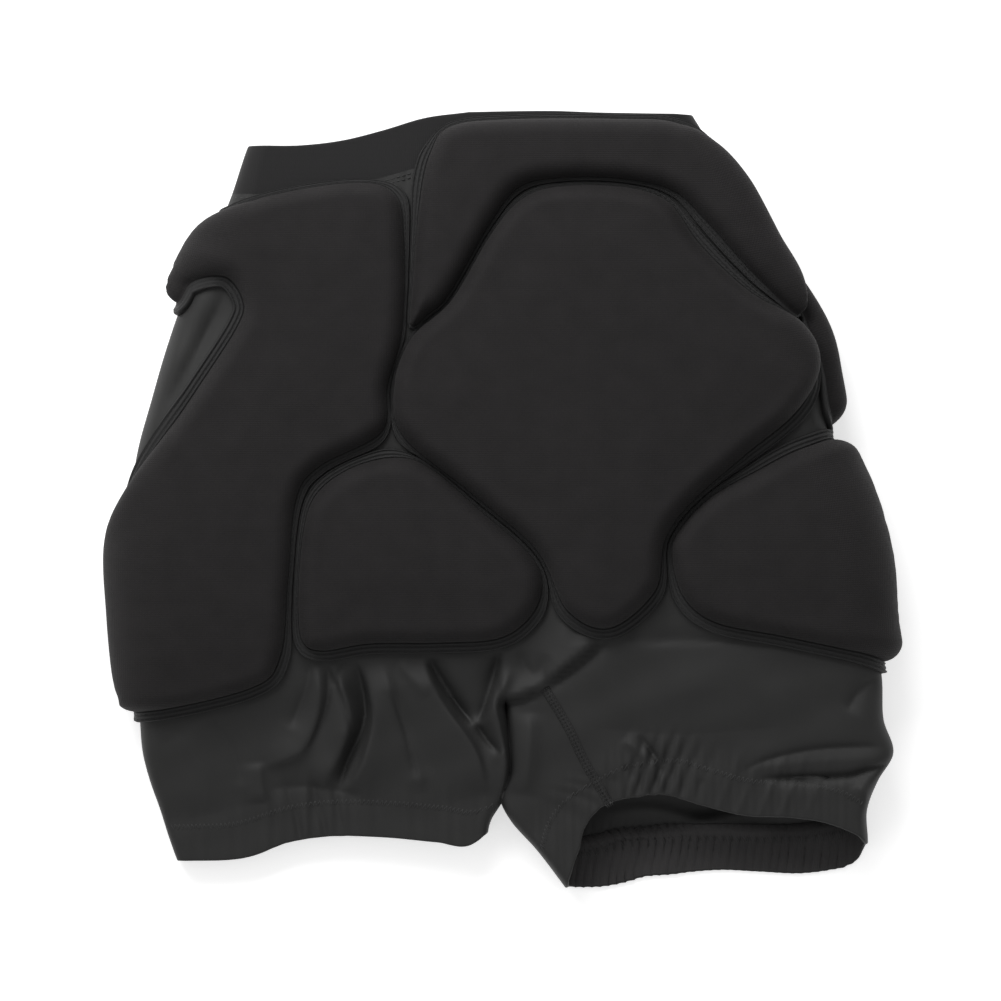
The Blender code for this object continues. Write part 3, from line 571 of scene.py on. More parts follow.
def freedom(across, down):
    """0 under the pads and their flanges, 1 where the cloth is free to fold."""
    flat = np.stack([laid_out(across, down).ravel(), down.ravel()], axis=1)
    depth = np.max([depth_inside(flat, outline[::3]) for outline in FLAT_OUTLINES.values()], axis=0)
    return smooth_step((-depth - FLANGE_WIDTH * 0.8) / FOLD_FADE).reshape(across.shape)


def laid_out(across, down):
    """Turn a plan place on the upper layer into its place across the laid-out cloth."""
    radius = roundness(down)
    left = side("left", down)
    right = side("right", down)
    left_turn = np.arcsin(np.clip(1.0 - (across - left) / radius, 0.0, 1.0))
    right_turn = np.arcsin(np.clip(1.0 - (right - across) / radius, 0.0, 1.0))
    flat = np.where(left_turn > 0.0, left + radius * (1.0 - left_turn), across)
    return np.where(right_turn > 0.0, right - radius * (1.0 - right_turn), flat)


def side_turn(across, down):
    """Angle by which a place on the laid-out cloth has turned round its side, and which side that is."""
    radius = roundness(down)
    left_turn = (side("left", down) + radius - across) / radius
    right_turn = (across - side("right", down) + radius) / radius
    return np.maximum(np.maximum(left_turn, right_turn), 0.0), left_turn > right_turn


def height(across, down, facing):
    """Height of the cloth at a plan place; facing is 1 on the upper layer, 0 at a side, -1 under."""
    low = floor_height(across, down)
    high = back_height(across, down)
    return (low + high) / 2.0 + (high - low) / 2.0 * facing * inseam_openness(across, down)


def in_world(across, down, up):
    """Points for plan places and heights."""
    return np.stack([across - WIDTH / 2.0 + SHIFT_X, LENGTH / 2.0 - down + SHIFT_Y, up], axis=-1)


def cloth_point(across, down):
    """Points on the outside of the cloth, for places on the laid-out cloth."""
    turn, on_left = side_turn(across, down)
    radius = roundness(down)
    bend = np.minimum(turn, math.pi)
    reach = radius * (1.0 - np.sin(bend)) + radius * np.maximum(turn - math.pi, 0.0)
    edge = np.where(on_left, side("left", down) + reach, side("right", down) - reach)
    plan = np.where(turn > 0.0, edge, across)
    return in_world(plan, down, height(plan, down, np.cos(bend)))


def cloth_normal(across, down):
    """Directions straight out of the cloth."""
    small = 0.0015
    along = cloth_point(across + small, down) - cloth_point(across - small, down)
    downward = cloth_point(across, down + small) - cloth_point(across, down - small)
    return unit(np.cross(downward, along))


# Outlines on the laid-out cloth

def flat_outlines():
    """Smooth pad outlines in metres; the right hip pad mirrors the left one and shares its twist."""
    outlines = {}
    for name, outline in OUTLINES.items():
        corners = np.stack([outline["across"] * WIDTH, outline["down"] * LENGTH], axis=1)
        outlines[name] = closed_curve(corners)
    left = outlines["left_hip_pad"]
    across = 2.0 * inside_edge("left", np.minimum(left[:, 1], CROTCH_DOWN * LENGTH)) - left[:, 0] + TWIST
    outlines["right_hip_pad"] = np.stack([across, left[:, 1] - TWIST_RISE], axis=1)[::-1]
    return outlines


FLAT_OUTLINES = flat_outlines()


# Lattices of the cloth

def key_lines(half, layer, share):
    """How far down the waist edge, band seam, crotch line, hem seam and hem edge lie at a share."""
    waist = LENGTH * smooth_through(WAIST["share"], WAIST[half], share)
    outer = CROTCH_SIDE[half]
    crotch = LENGTH * (outer + (CROTCH_DOWN - outer) * share)
    hem = LENGTH * smooth_through(HEMS[half]["share"], HEMS[half][layer], share)
    return np.stack([waist, waist + BAND_HEIGHT, crotch, hem - HEM_HEIGHT, hem])


def down_at(half, layer, share, station):
    """How far down stations lie; a station counts the key lines, with parts between them."""
    share, station = np.broadcast_arrays(share, station)
    lines = key_lines(half, layer, share)
    line = np.minimum(station.astype(int), len(lines) - 2)[None]
    part = station - line[0]
    before = np.take_along_axis(lines, line, axis=0)[0]
    after = np.take_along_axis(lines, line + 1, axis=0)[0]
    return before * (1.0 - part) + after * part


def gathers(across, down, seam, half, layer):
    """Waves of the cloth that the elastic of a hem draws together."""
    place = across / WIDTH
    waves = sum(size * np.sin(turn * place + start) for size, turn, start in WAVES[half])
    least, more, centre, reach = GATHER_STRENGTHS[half]
    strength = least + more * np.exp(-((place - centre) / reach) ** 2)
    if half == "left":
        strength = strength + 0.08 * smooth_step((place - 0.34) / 0.1)
        lean = 0.25
    else:
        uneven = 0.5 + 0.5 * np.sin(67.0 * place + 0.8) * np.sin(29.0 * place + 2.0)
        strength = strength + 0.12 * uneven
        lean = 0.8 - 1.2 * smooth_step((place - 0.62) / 0.05)
    if layer == "front":
        strength = 0.20 + 0.6 * strength
        waves = 0.6 * waves + 0.55 * np.sin(598.0 * place + 90.0 * down / LENGTH) + 0.8
    else:
        for streak, size in STREAKS[half]:
            beside = place - streak - lean * (down - seam) / LENGTH
            waves = waves + size * np.exp(-(beside / STREAK_WIDTH) ** 2)
    near = smooth_step((down - seam + GATHER_FADE) / GATHER_FADE)
    return GATHER_HEIGHT * waves * strength * near


def cloth_at(half, layer, share, down):
    """Points of the cloth for shares from the side, 0, to the centre line or the inner leg, 1."""
    outer = side(half, down)
    across = outer + share * (inside_edge(half, down) - outer)
    near_side = np.clip(1.0 - np.abs(across - outer) / roundness(down), 0.0, 1.0)
    squareness = 2.0 + (EDGE_SQUARENESS - 2.0) * smooth_step((down / LENGTH - SQUARE_FROM) / SQUARE_REACH)
    facing = LAYERS[layer] * (1.0 - near_side ** squareness) ** (1.0 / squareness)
    up = height(across, down, facing)
    open_share = np.abs(facing) * inseam_openness(across, down)
    _, band_seam, _, hem_seam, _ = key_lines(half, layer, share)
    up = up + gathers(across, down, hem_seam, half, layer) * open_share
    slack = smooth_step((down - band_seam) / FOLD_FADE)
    slack = slack * (1.0 - smooth_step((down - hem_seam) / HEM_HEIGHT + 0.2))
    ripple = np.sin(across * 121.0 + 40.0 * down) * np.sin(down * 173.0 - 31.0 * across + 1.0) * RIPPLE_HEIGHT
    if layer == "back":
        folds = (fold_height(across, down, BACK_FOLDS) + ripple) * freedom(across, down)
    else:
        folds = fold_height(across, down, FRONT_FOLDS) + ripple + FRONT_LIFT
    return in_world(across, down, up + folds * open_share * slack), across


def shares_across(half, layer, station, middle):
    """Shares of the columns of rows, closer round the side and the inner leg."""
    turns = np.radians(np.linspace(90.0, 0.0, 13))
    rounding = 1.0 - np.sin(turns)
    zero = np.zeros((len(station), 1))
    outer_down = down_at(half, layer, zero, station)
    inner_down = down_at(half, layer, zero + 1.0, station)
    outer_width = np.abs(inside_edge(half, outer_down) - side(half, outer_down))
    inner_width = np.abs(inside_edge(half, inner_down) - side(half, inner_down))
    outer = roundness(outer_down) / outer_width * rounding
    inner = 1.0 - INSEAM_ROUND / inner_width * rounding
    part = np.linspace(0.0, 1.0, middle + 1)[1:-1]
    between = outer[:, -1:] + part * (inner[:, -1:] - outer[:, -1:])
    leg = np.concatenate([outer, between, inner[:, ::-1]], axis=1)
    even = np.linspace(0.0, 1.0, middle + len(turns))[1:]
    body = np.concatenate([outer, outer[:, -1:] + even * (1.0 - outer[:, -1:])], axis=1)
    return body + (leg - body) * smooth_step((station - 1.5) * 2.0)


# Meshes

def new_piece(name, points, faces, look, places=None):
    """Make a named mesh object that reaches no lower than the floor, with the cloth's own coordinates."""
    mesh = bpy.data.meshes.new(name)
    resting = np.maximum(points, (-np.inf, -np.inf, LOWEST))
    mesh.from_pydata(resting.tolist(), [], faces)
    mesh.shade_smooth()
    if places is not None:
        attribute = mesh.attributes.new("weave", "FLOAT_VECTOR", "POINT")
        attribute.data.foreach_set("vector", np.asarray(places, np.float32).ravel())
    mesh.materials.append(look)
    piece = bpy.data.objects.new(name, mesh)
    bpy.context.scene.collection.objects.link(piece)
    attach(piece, "root")
    return piece


def grid_faces(rows, columns, flip, closed=False, first=0):
    """Faces of a grid of points, which may close on itself after its last column."""
    wide = columns if closed else columns - 1
    row, column = np.meshgrid(np.arange(rows - 1), np.arange(wide), indexing="ij")
    here = first + row * columns + column
    right = first + row * columns + (column + 1) % columns
    corners = np.stack([here, here + columns, right + columns, right], axis=-1).reshape(-1, 4)
    return (corners[:, ::-1] if flip else corners).tolist()


def panel(name, layer, rows_body, rows_leg, middle, look):
    """One layer of the body and both legs, with its wall."""
    station = np.concatenate([
        1.0 + 0.9 * np.linspace(0.0, 1.0, rows_body, endpoint=False),
        np.linspace(1.9, 2.0, 12, endpoint=False),
        np.linspace(2.0, 3.0, rows_leg)])[:, None]
    points, places, faces = [], [], []
    first = 0
    for half in HALVES:
        share = shares_across(half, layer, station, middle)
        down = down_at(half, layer, share, station)
        surface, across = cloth_at(half, layer, share, down)
        rows, columns = share.shape
        faces += grid_faces(rows, columns, (half == "right") != (layer == "front"), first=first)
        points.append(surface.reshape(-1, 3))
        places.append(np.stack([across, down, np.zeros_like(down)], axis=-1).reshape(-1, 3))
        first += rows * columns
    piece = new_piece(name, np.concatenate(points), faces, look, np.concatenate(places))
    merge_seams(piece)
    wall = piece.modifiers.new("wall", "SOLIDIFY")
    wall.thickness = CLOTH
    wall.offset = -1.0
    return piece


def merge_seams(piece):
    """Join the halves where they meet, and keep the open edges crisp."""
    mesh_data = bmesh.new()
    mesh_data.from_mesh(piece.data)
    bmesh.ops.remove_doubles(mesh_data, verts=mesh_data.verts, dist=1e-6)
    for edge in mesh_data.edges:
        edge.smooth = not edge.is_boundary
    mesh_data.to_mesh(piece.data)
    mesh_data.free()


def band(name, parts, stations, closed_edge_last, look, inside_look, tucked_share):
    """A closed band of doubled cloth, folded at its free edge and tucked under a panel at the other."""
    surfaces, grids = [], []
    for half, layer, share in parts:
        spread = np.repeat(share[None, :], len(stations), axis=0)
        down = down_at(half, layer, share, stations[:, None])
        surface, across = cloth_at(half, layer, spread, down)
        surfaces.append(surface)
        grids.append(np.stack([across, down, np.zeros_like(down)], axis=-1))
    outer = np.concatenate(surfaces, axis=1)
    places = np.concatenate(grids, axis=1)
    if not closed_edge_last:
        outer = outer[::-1]
        places = places[::-1]
    around = np.roll(outer, -1, axis=1) - np.roll(outer, 1, axis=1)
    towards = np.gradient(outer, axis=0)
    normal = unit(np.cross(around, towards))
    middle = outer.mean(axis=(0, 1))
    if ((outer - middle) * normal).sum() < 0.0:
        normal = -normal
    tucked = TUCK * (smooth_step(np.linspace(0.0, 1.0, len(outer)) / tucked_share) - 1.0)
    outer = outer + normal * tucked[:, None, None]
    walls = BAND_CLOTH + (BAND_CLOTH - TUCKED_THICKNESS) * tucked / TUCK
    inner = outer - normal * walls[:, None, None]
    edge = unit(towards[-1])
    radius = BAND_CLOTH / 2.0
    centre = outer[-1] - normal[-1] * radius
    turns = np.radians(np.linspace(0.0, 180.0, 8)[1:-1])
    fold = [centre + radius * (math.cos(turn) * normal[-1] + math.sin(turn) * edge) for turn in turns]
    rows = np.concatenate([outer, np.stack(fold), inner[::-1]])
    grid = np.concatenate([places, np.repeat(places[-1:], len(turns), axis=0), places[::-1]])
    count, columns = rows.shape[:2]
    faces = grid_faces(count, columns, False, closed=True)
    last = (count - 1) * columns
    for column in range(columns):
        beyond = (column + 1) % columns
        faces.append([last + column, column, beyond, last + beyond])
    piece = new_piece(name, rows.reshape(-1, 3), faces, look, grid.reshape(-1, 3))
    piece.data.materials.append(inside_look)
    inside_from = (len(outer) + len(fold)) * columns
    piece.data.polygons.foreach_set("material_index", [int(min(face) >= inside_from) for face in faces])
    turn_outwards(piece)
    return piece


def turn_outwards(piece):
    """Make a closed mesh's faces point out of it."""
    mesh = piece.data
    count = len(mesh.vertices)
    points = np.zeros(count * 3)
    mesh.vertices.foreach_get("co", points)
    points = points.reshape(-1, 3)
    mesh.calc_loop_triangles()
    corners = np.zeros(len(mesh.loop_triangles) * 3, np.int32)
    mesh.loop_triangles.foreach_get("vertices", corners)
    a, b, c = (points[corners.reshape(-1, 3)[:, place]] for place in range(3))
    if (a * np.cross(b, c)).sum() < 0.0:
        mesh.flip_normals()


# Pads

def widths_of_flange(name, foot):
    """Width of a pad's flange along its outline: narrower where another pad or the waist edge is near."""
    others = [outline for other, outline in FLAT_OUTLINES.items() if other != name]
    to_pads = np.min([-depth_inside(foot, outline) for outline in others], axis=0)
    to_waist = foot[:, 1] - waist_edge_near(foot[:, 0])
    room = np.minimum((to_pads - FLANGE_GAP) / 2.0, to_waist - FLANGE_GAP)
    width = np.clip(room, FLANGE_LEAST, FLANGE_WIDTH)
    if name in NARROW_FLANGES:
        (left, right), (above, below), share = NARROW_FLANGES[name]
        place = foot / (WIDTH, LENGTH)
        within = (place[:, 0] > left) & (place[:, 0] < right) & (place[:, 1] > above) & (place[:, 1] < below)
        width = np.where(within, np.minimum(width, share * FLANGE_WIDTH), width)
    for _ in range(FLANGE_SMOOTHINGS):
        mean = (np.roll(width, 1) + width + np.roll(width, -1)) / 3.0
        width = np.minimum(width, mean + FLANGE_WIDENING)
        width = (np.roll(width, 1) + 2.0 * width + np.roll(width, -1)) / 4.0
    return width


def waist_edge_near(across):
    """How far down the waist edge lies at a place across."""
    shares = np.linspace(0.0, 1.0, 40)
    lines = []
    for half in HALVES:
        down = key_lines(half, "back", shares)[0]
        outer = side(half, down)
        lines.append(np.stack([outer + shares * (inside_edge(half, down) - outer), down], axis=1))
    edge = np.concatenate([lines[0], lines[1][::-1]])
    return np.interp(across, edge[:, 0], edge[:, 1])


def flange_profile(share, width):
    """Height of a flange over the cloth, from its pad, 0, to its outer edge, 1."""
    puff = np.zeros_like(share)
    for low, high, size in FLANGE_ROLLS:
        part = np.clip((share - low) / (high - low), 0.0, 1.0)
        puff = np.maximum(puff, size * np.sin(math.pi * part) ** 0.7)
    edge = np.sqrt(1.0 - np.clip((share - 0.9) / 0.1, 0.0, 1.0) ** 2)
    rolls = FLANGE_PUFF * puff * np.clip(width / FLANGE_WIDTH, 0.3, 1.0)
    return (FLANGE_HEIGHT + rolls) * edge - SEAT_GAP * 0.9 * (share >= 1.0)


def pad_height(depth, thickness):
    """Thickness of a pad at a distance inside its outline."""
    crown = np.sqrt(1.0 - (1.0 - np.minimum(depth / CROWN_RADIUS, 1.0)) ** 2)
    dome = DOME_RISE * (1.0 - smooth_step((depth - CROWN_RADIUS) / DOME_REACH))
    return FLANGE_HEIGHT + (thickness - dome - FLANGE_HEIGHT) * crown


def outward_directions(foot, outline):
    """Directions out of an outline at its points."""
    ahead = unit(np.roll(foot, -1, axis=0) - np.roll(foot, 1, axis=0))
    outward = np.stack([ahead[:, 1], -ahead[:, 0]], axis=1)
    return -outward if depth_inside(foot + outward * SEAT_GAP, outline).mean() > 0.0 else outward


def hexagonal_places(outline, step, margin):
    """Evenly spread places inside an outline, at least a margin from it."""
    low = outline.min(axis=0)
    high = outline.max(axis=0)
    places = []
    for row, down in enumerate(np.arange(low[1], high[1], step * 0.866)):
        across = np.arange(low[0] + (row % 2) * step / 2.0, high[0], step)
        places.append(np.stack([across, np.full_like(across, down)], axis=1))
    places = np.concatenate(places)
    return places[depth_inside(places, outline) > margin]


def triangles_of(flat, count):
    """Triangles that fill the first ring of places and go through all the others."""
    edges = [(step, (step + 1) % count) for step in range(count)]
    vertices, _, faces, origins, *_ = delaunay_2d_cdt([(a, -d) for a, d in flat], edges, [], 1, 1e-7)
    originals = [origin[0] for origin in origins]
    return [[originals[corner] for corner in face] for face in faces]


def pad(name, look):
    """A crowned foam pad with its sewn flange, wrapped on the cloth."""
    outline = FLAT_OUTLINES[name]
    foot = evenly(outline, OUTLINE_STEP, closed=True)
    outward = outward_directions(foot, outline)
    width = widths_of_flange(name, foot)
    count = len(foot)
    flat, lift = [], []
    for share in FLANGE_RINGS:
        flat.append(foot + outward * (width * share)[:, None])
        lift.append(flange_profile(np.full(count, share), width))
    thickness = THICKNESSES[name]
    for share in CROWN_RINGS:
        ring = foot - outward * CROWN_RADIUS * share
        depth = depth_inside(ring, outline)
        kept = depth > CROWN_RADIUS * share * 0.93
        flat.append(ring[kept])
        lift.append(pad_height(depth[kept], thickness))
    inner = hexagonal_places(outline, TOP_STEP, CROWN_RADIUS * CROWN_RINGS[-1] + TOP_STEP * 0.6)
    flat.append(inner)
    lift.append(pad_height(depth_inside(inner, outline), thickness))
    flat = np.concatenate(flat)
    lift = np.concatenate(lift)
    upper = triangles_of(flat, count)
    under = hexagonal_places(flat[:count], UNDER_STEP, UNDER_STEP * 0.5)
    lower = triangles_of(np.concatenate([flat[:count], under]), count)
    shift = len(flat) - count
    lower = [[corner if corner < count else corner + shift for corner in face][::-1] for face in lower]
    places = np.concatenate([flat, under])
    lift = np.concatenate([lift, np.full(len(under), -SEAT_GAP * 0.6)])
    base = cloth_point(places[:, 0], places[:, 1])
    points = base + (SEAT_GAP + lift)[:, None] * cloth_normal(places[:, 0], places[:, 1])
    weave = np.concatenate([places, np.zeros((len(places), 1))], axis=1)
    piece = new_piece(name + "_cover", points, upper + lower, look, weave)
    piece.data.materials.append(BINDING)
    bound = len(FLANGE_RINGS) * count
    on_flange = [int(max(face) < bound) for face in upper] + [1] * len(lower)
    piece.data.polygons.foreach_set("material_index", on_flange)
    turn_outwards(piece)
    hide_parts(name)


# Stitches

def stitch_mesh(name, rows, look):
    """Short rounded threads, joined in one piece, from rows of starts, ends and directions up."""
    starts, ends, up = (np.concatenate(part) for part in zip(*rows))
    sides = 5
    turns = np.linspace(0.0, 2.0 * math.pi, sides, endpoint=False)
    shape = [(0.0, 0.35, -0.6), (0.14, 0.95, 0.0), (0.86, 0.95, 0.0), (1.0, 0.35, -0.6)]
    run = ends - starts
    across = unit(np.cross(unit(run), up))
    rings = []
    for along, radius, sink in shape:
        centre = starts + run * along + up * sink * THREAD_RADIUS
        for turn in turns:
            rings.append(centre + THREAD_RADIUS * radius * (math.cos(turn) * across + math.sin(turn) * up))
    points = np.stack(rings, axis=1)
    template = []
    for ring in range(len(shape) - 1):
        for place in range(sides):
            beyond = (place + 1) % sides
            template.append([ring * sides + place, ring * sides + beyond,
                             (ring + 1) * sides + beyond, (ring + 1) * sides + place])
    size = sides * len(shape)
    faces = []
    for stitch in range(len(starts)):
        first = stitch * size
        faces += [[first + corner for corner in face] for face in template]
        faces.append([first + place for place in range(sides - 1, -1, -1)])
        faces.append([first + size - sides + place for place in range(sides)])
    piece = new_piece(name, points.reshape(-1, 3), faces, look)
    turn_outwards(piece)
    return piece


def flange_stitches(name, look):
    """The rows of stitches that hold a pad's flange."""
    outline = FLAT_OUTLINES[name]
    rows = []
    for row in STITCH_ROWS:
        foot = evenly(outline, STITCH_STEP, closed=True)
        outward = outward_directions(foot, outline)
        width = widths_of_flange(name, foot)
        wide = width > FLANGE_WIDTH * (0.35 if row < 0.5 else 0.6)
        line = foot + outward * (width * row)[:, None]
        ahead = np.roll(line, -1, axis=0) - line
        size = np.linalg.norm(ahead, axis=1, keepdims=True)
        wide &= size[:, 0] > STITCH_STEP * 0.5
        end = line + ahead / size * STITCH_LENGTH
        lift = (SEAT_GAP + flange_profile(np.full(len(line), row), width) + THREAD_RADIUS * 0.6)[:, None]
        normal = cloth_normal(line[:, 0], line[:, 1])
        begin = cloth_point(line[:, 0], line[:, 1]) + normal * lift
        finish = cloth_point(end[:, 0], end[:, 1]) + normal * lift
        rows.append((begin[wide], finish[wide], normal[wide]))
    stitch_mesh(name + "_stitches", rows, look)


def cloth_frame(half, layer, share, down):
    """Points on the folded cloth and the directions out of it."""
    small = 0.0008
    here, _ = cloth_at(half, layer, share, down)
    width = np.abs(inside_edge(half, down) - side(half, down))
    right, _ = cloth_at(half, layer, np.clip(share + small / width, 0.0, 1.0), down)
    left, _ = cloth_at(half, layer, np.clip(share - small / width, 0.0, 1.0), down)
    below, _ = cloth_at(half, layer, share, down + small)
    above, _ = cloth_at(half, layer, share, down - small)
    normal = unit(np.cross(right - left, below - above))
    flip = np.sign(normal[:, 2:3]) * LAYERS[layer]
    return here, normal * np.where(flip == 0.0, 1.0, flip)


# Materials

def new_material(name, specular):
    """A node material, its shader, and the function that links its sockets."""
    made = bpy.data.materials.new(name)
    made.use_nodes = True
    shader = made.node_tree.nodes["Principled BSDF"]
    shader.inputs["Specular IOR Level"].default_value = specular
    return made, shader, made.node_tree.links.new


def set_inputs(node, values):
    """Set a node's inputs by their names."""
    for name, value in values.items():
        node.inputs[name].default_value = value


def add_node(made, kind, values):
    """Add a node to a material, with the values of its inputs."""
    node = made.node_tree.nodes.new(kind)
    set_inputs(node, values)
    return node


def colour_between(made, amount, ends):
    """Link a ramp, from ends of a place and a colour each, to a material's base colour."""
    ramp = add_node(made, "ShaderNodeValToRGB", {})
    for stop, (place, colour) in zip(ramp.color_ramp.elements, ends):
        stop.position = place
        stop.color = (*colour, 1.0)
    made.node_tree.links.new(amount, ramp.inputs["Fac"])
    shader = made.node_tree.nodes["Principled BSDF"]
    made.node_tree.links.new(ramp.outputs["Color"], shader.inputs["Base Color"])


def shader_material(name, colour, roughness, sheen, specular, knit, bump, mottle, rib):
    """A procedural cloth: a fine knit in relief, and slow changes of colour and gloss."""
    made, shader, link = new_material(name, specular)
    shader.inputs["Sheen Weight"].default_value = sheen
    shader.inputs["Sheen Roughness"].default_value = 0.45
    shader.inputs["Sheen Tint"].default_value = (1.0, 0.98, 0.97, 1.0)
    weave = add_node(made, "ShaderNodeAttribute", {})
    weave.attribute_name = "weave"

    def texture(kind, values):
        node = add_node(made, kind, values)
        link(weave.outputs["Vector"], node.inputs["Vector"])
        return node

    def maths(operation, *operands):
        node = add_node(made, "ShaderNodeMath", {})
        node.operation = operation
        for socket, operand in zip(node.inputs, operands):
            if isinstance(operand, float):
                socket.default_value = operand
            else:
                link(operand, socket)
        return node.outputs["Value"]

    slow = texture("ShaderNodeTexNoise", {"Scale": 70.0, "Detail": 3.0}).outputs["Fac"]
    fuzz = texture("ShaderNodeTexNoise", {"Scale": 900.0, "Detail": 2.0}).outputs["Fac"]
    low = [channel * (1.0 - mottle) for channel in colour]
    high = [channel * (1.0 + mottle) for channel in colour]
    mixed = maths("MULTIPLY_ADD", fuzz, 0.45, maths("MULTIPLY", slow, 0.55))
    colour_between(made, mixed, ((0.30, low), (0.70, high)))

    gloss = add_node(made, "ShaderNodeMapRange", {"To Min": roughness - 0.05, "To Max": roughness + 0.05})
    link(slow, gloss.inputs["Value"])
    link(gloss.outputs["Result"], shader.inputs["Roughness"])

    wales = texture("ShaderNodeTexWave", {"Scale": 0.314 / knit, "Distortion": 0.6, "Detail": 1.0})
    wales.bands_direction = "X"
    courses = texture("ShaderNodeTexWave", {"Scale": 0.314 / (knit * rib), "Distortion": 0.6})
    courses.bands_direction = "Y"
    loops = maths("MULTIPLY", wales.outputs["Fac"], courses.outputs["Fac"])
    raised = add_node(made, "ShaderNodeBump", {"Strength": bump, "Distance": 0.0003})
    link(maths("MULTIPLY_ADD", fuzz, 0.35, loops), raised.inputs["Height"])
    link(raised.outputs["Normal"], shader.inputs["Normal"])
    return made


def thread_material(name, low, high):
    """Sewing thread between two shades of grey."""
    made, shader, link = new_material(name, 0.3)
    shader.inputs["Roughness"].default_value = 0.55
    noise = add_node(made, "ShaderNodeTexNoise", {"Scale": 400.0})
    link(add_node(made, "ShaderNodeTexCoord", {}).outputs["Object"], noise.inputs["Vector"])
    colour_between(made, noise.outputs["Fac"], ((0.0, (low, low, low)), (1.0, (high, high, high))))
    return made


# The pieces

PAD_CLOTH, BODY_CLOTH, BAND_LOOK, BINDING, HEM_INSIDE_PAINTED_LIGHT = (shader_material(*row) for row in (
    # name, colour, roughness, sheen, specular, wale width, bump, mottling, loop height in wale widths
    ("pad_knit", (0.0152, 0.0141, 0.0145), 0.82, 0.04, 0.20, 0.0009, 0.55, 0.22, 1.3),
    ("stretch_satin", (0.0182, 0.0182, 0.0179), 0.60, 0.0, 0.32, 0.0006, 0.25, 0.10, 0.9),
    ("band_knit", (0.0125, 0.0122, 0.0126), 0.72, 0.04, 0.22, 0.0011, 0.40, 0.12, 0.6),
    ("binding_tape", (0.0135, 0.0134, 0.0136), 0.60, 0.03, 0.34, 0.0006, 0.45, 0.10, 0.8),
    # painted light: the inside of the hems is a lighter copy of the cloth, brightening it where the back
    # layer shades it
    ("hem_inside_painted_light", (0.0400, 0.0385, 0.0390), 0.80, 0.05, 0.22, 0.0008, 0.45, 0.14, 0.8),
))
THREAD = thread_material("thread", 0.012, 0.024)
SEAM_THREAD = thread_material("seam_thread", 0.024, 0.044)


def make_panels():
    """The cloth of the back and of the front."""
    made = []
    for layer in LAYERS:
        piece = panel(layer + "_cloth", layer, *PANEL_FINENESS[layer], BODY_CLOTH)
        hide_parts(layer + "_panel")
        made.append(piece)
    return made


def make_waistband():
    """The smooth doubled band round the waist."""
    outer = (1.0 - np.sin(np.radians(np.linspace(90.0, 0.0, 12)))) * 0.09
    shares = np.concatenate([outer, np.linspace(outer[-1], 1.0, 150)[1:]])
    parts = [
        ("left", "back", shares),
        ("right", "back", shares[::-1][1:]),
        ("right", "front", shares[1:]),
        ("left", "front", shares[::-1][1:-1]),
    ]
    piece = band("waistband_cloth", parts, np.linspace(0.04, 1.07, 26), False, BAND_LOOK, BAND_LOOK, 0.068)
    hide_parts("waistband")
    return piece


def make_hems():
    """The gathered bands round the leg openings."""
    made = []
    turns = 1.0 - np.sin(np.radians(np.linspace(90.0, 0.0, 12)))
    middle = np.linspace(0.05, 0.955, 190)[1:]
    shares = np.concatenate([turns * 0.05, middle, 1.0 - turns[::-1][1:] * 0.045])
    for half in HALVES:
        parts = [(half, "back", shares), (half, "front", shares[::-1][1:-1])]
        stations = np.linspace(2.92, 3.95, 20)
        # The inner faces of the hems take the lighter copy of the cloth: painted light where the back layer
        # shades them
        piece = band(half + "_hem_cloth", parts, stations, True, BODY_CLOTH, HEM_INSIDE_PAINTED_LIGHT, 0.078)
        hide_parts(half + "_hem")
        made.append(piece)
    return made


def seam_stitches():
    """Stitches along the waistband and, outside and inside, along the hems."""
    rows = []
    for half in HALVES:
        for layer in LAYERS:
            share = np.linspace(0.02, 0.98, ZIGZAGS)
            below = np.where(np.arange(ZIGZAGS) % 2 == 0, *ZIGZAG_ENDS)
            here, normal = cloth_frame(half, layer, share, key_lines(half, layer, share)[3] + below)
            rows.append((here[:-1], here[1:], normal[:-1]))

            share = np.linspace(0.05, 0.95, OVERLOCKS)
            seam = key_lines(half, layer, share)[3]
            ends = [cloth_frame(half, layer, share, seam + below) for below in OVERLOCK_ENDS]
            rows.append((*(point - normal * BAND_CLOTH for point, normal in ends), -ends[0][1]))

            for below in WAIST_STITCH_ROWS:
                share = np.linspace(0.02, 0.995, WAIST_STITCHES)
                here, normal = cloth_frame(half, layer, share, key_lines(half, layer, share)[1] + below)
                run = np.diff(here, axis=0)
                size = np.linalg.norm(run, axis=1, keepdims=True)
                begin = here[:-1] + normal[:-1] * THREAD_LIFT
                finish = begin + run / size * np.minimum(STITCH_LENGTH, size * 0.75)
                rows.append((begin, finish, normal[:-1]))
    return stitch_mesh("seam_stitches", rows, SEAM_THREAD)


def on_right_leg(places):
    """Points on the back of the right leg, and the directions out of it, for places across and down."""
    outer = side("right", places[:, 1])
    share = (places[:, 0] - outer) / (inside_edge("right", places[:, 1]) - outer)
    return cloth_frame("right", "back", share, places[:, 1])


def ahead_and_beside(line):
    """Directions along a plan line and square to it."""
    ahead = unit(np.gradient(line, axis=0))
    return ahead, np.stack([-ahead[:, 1], ahead[:, 0]], axis=1)


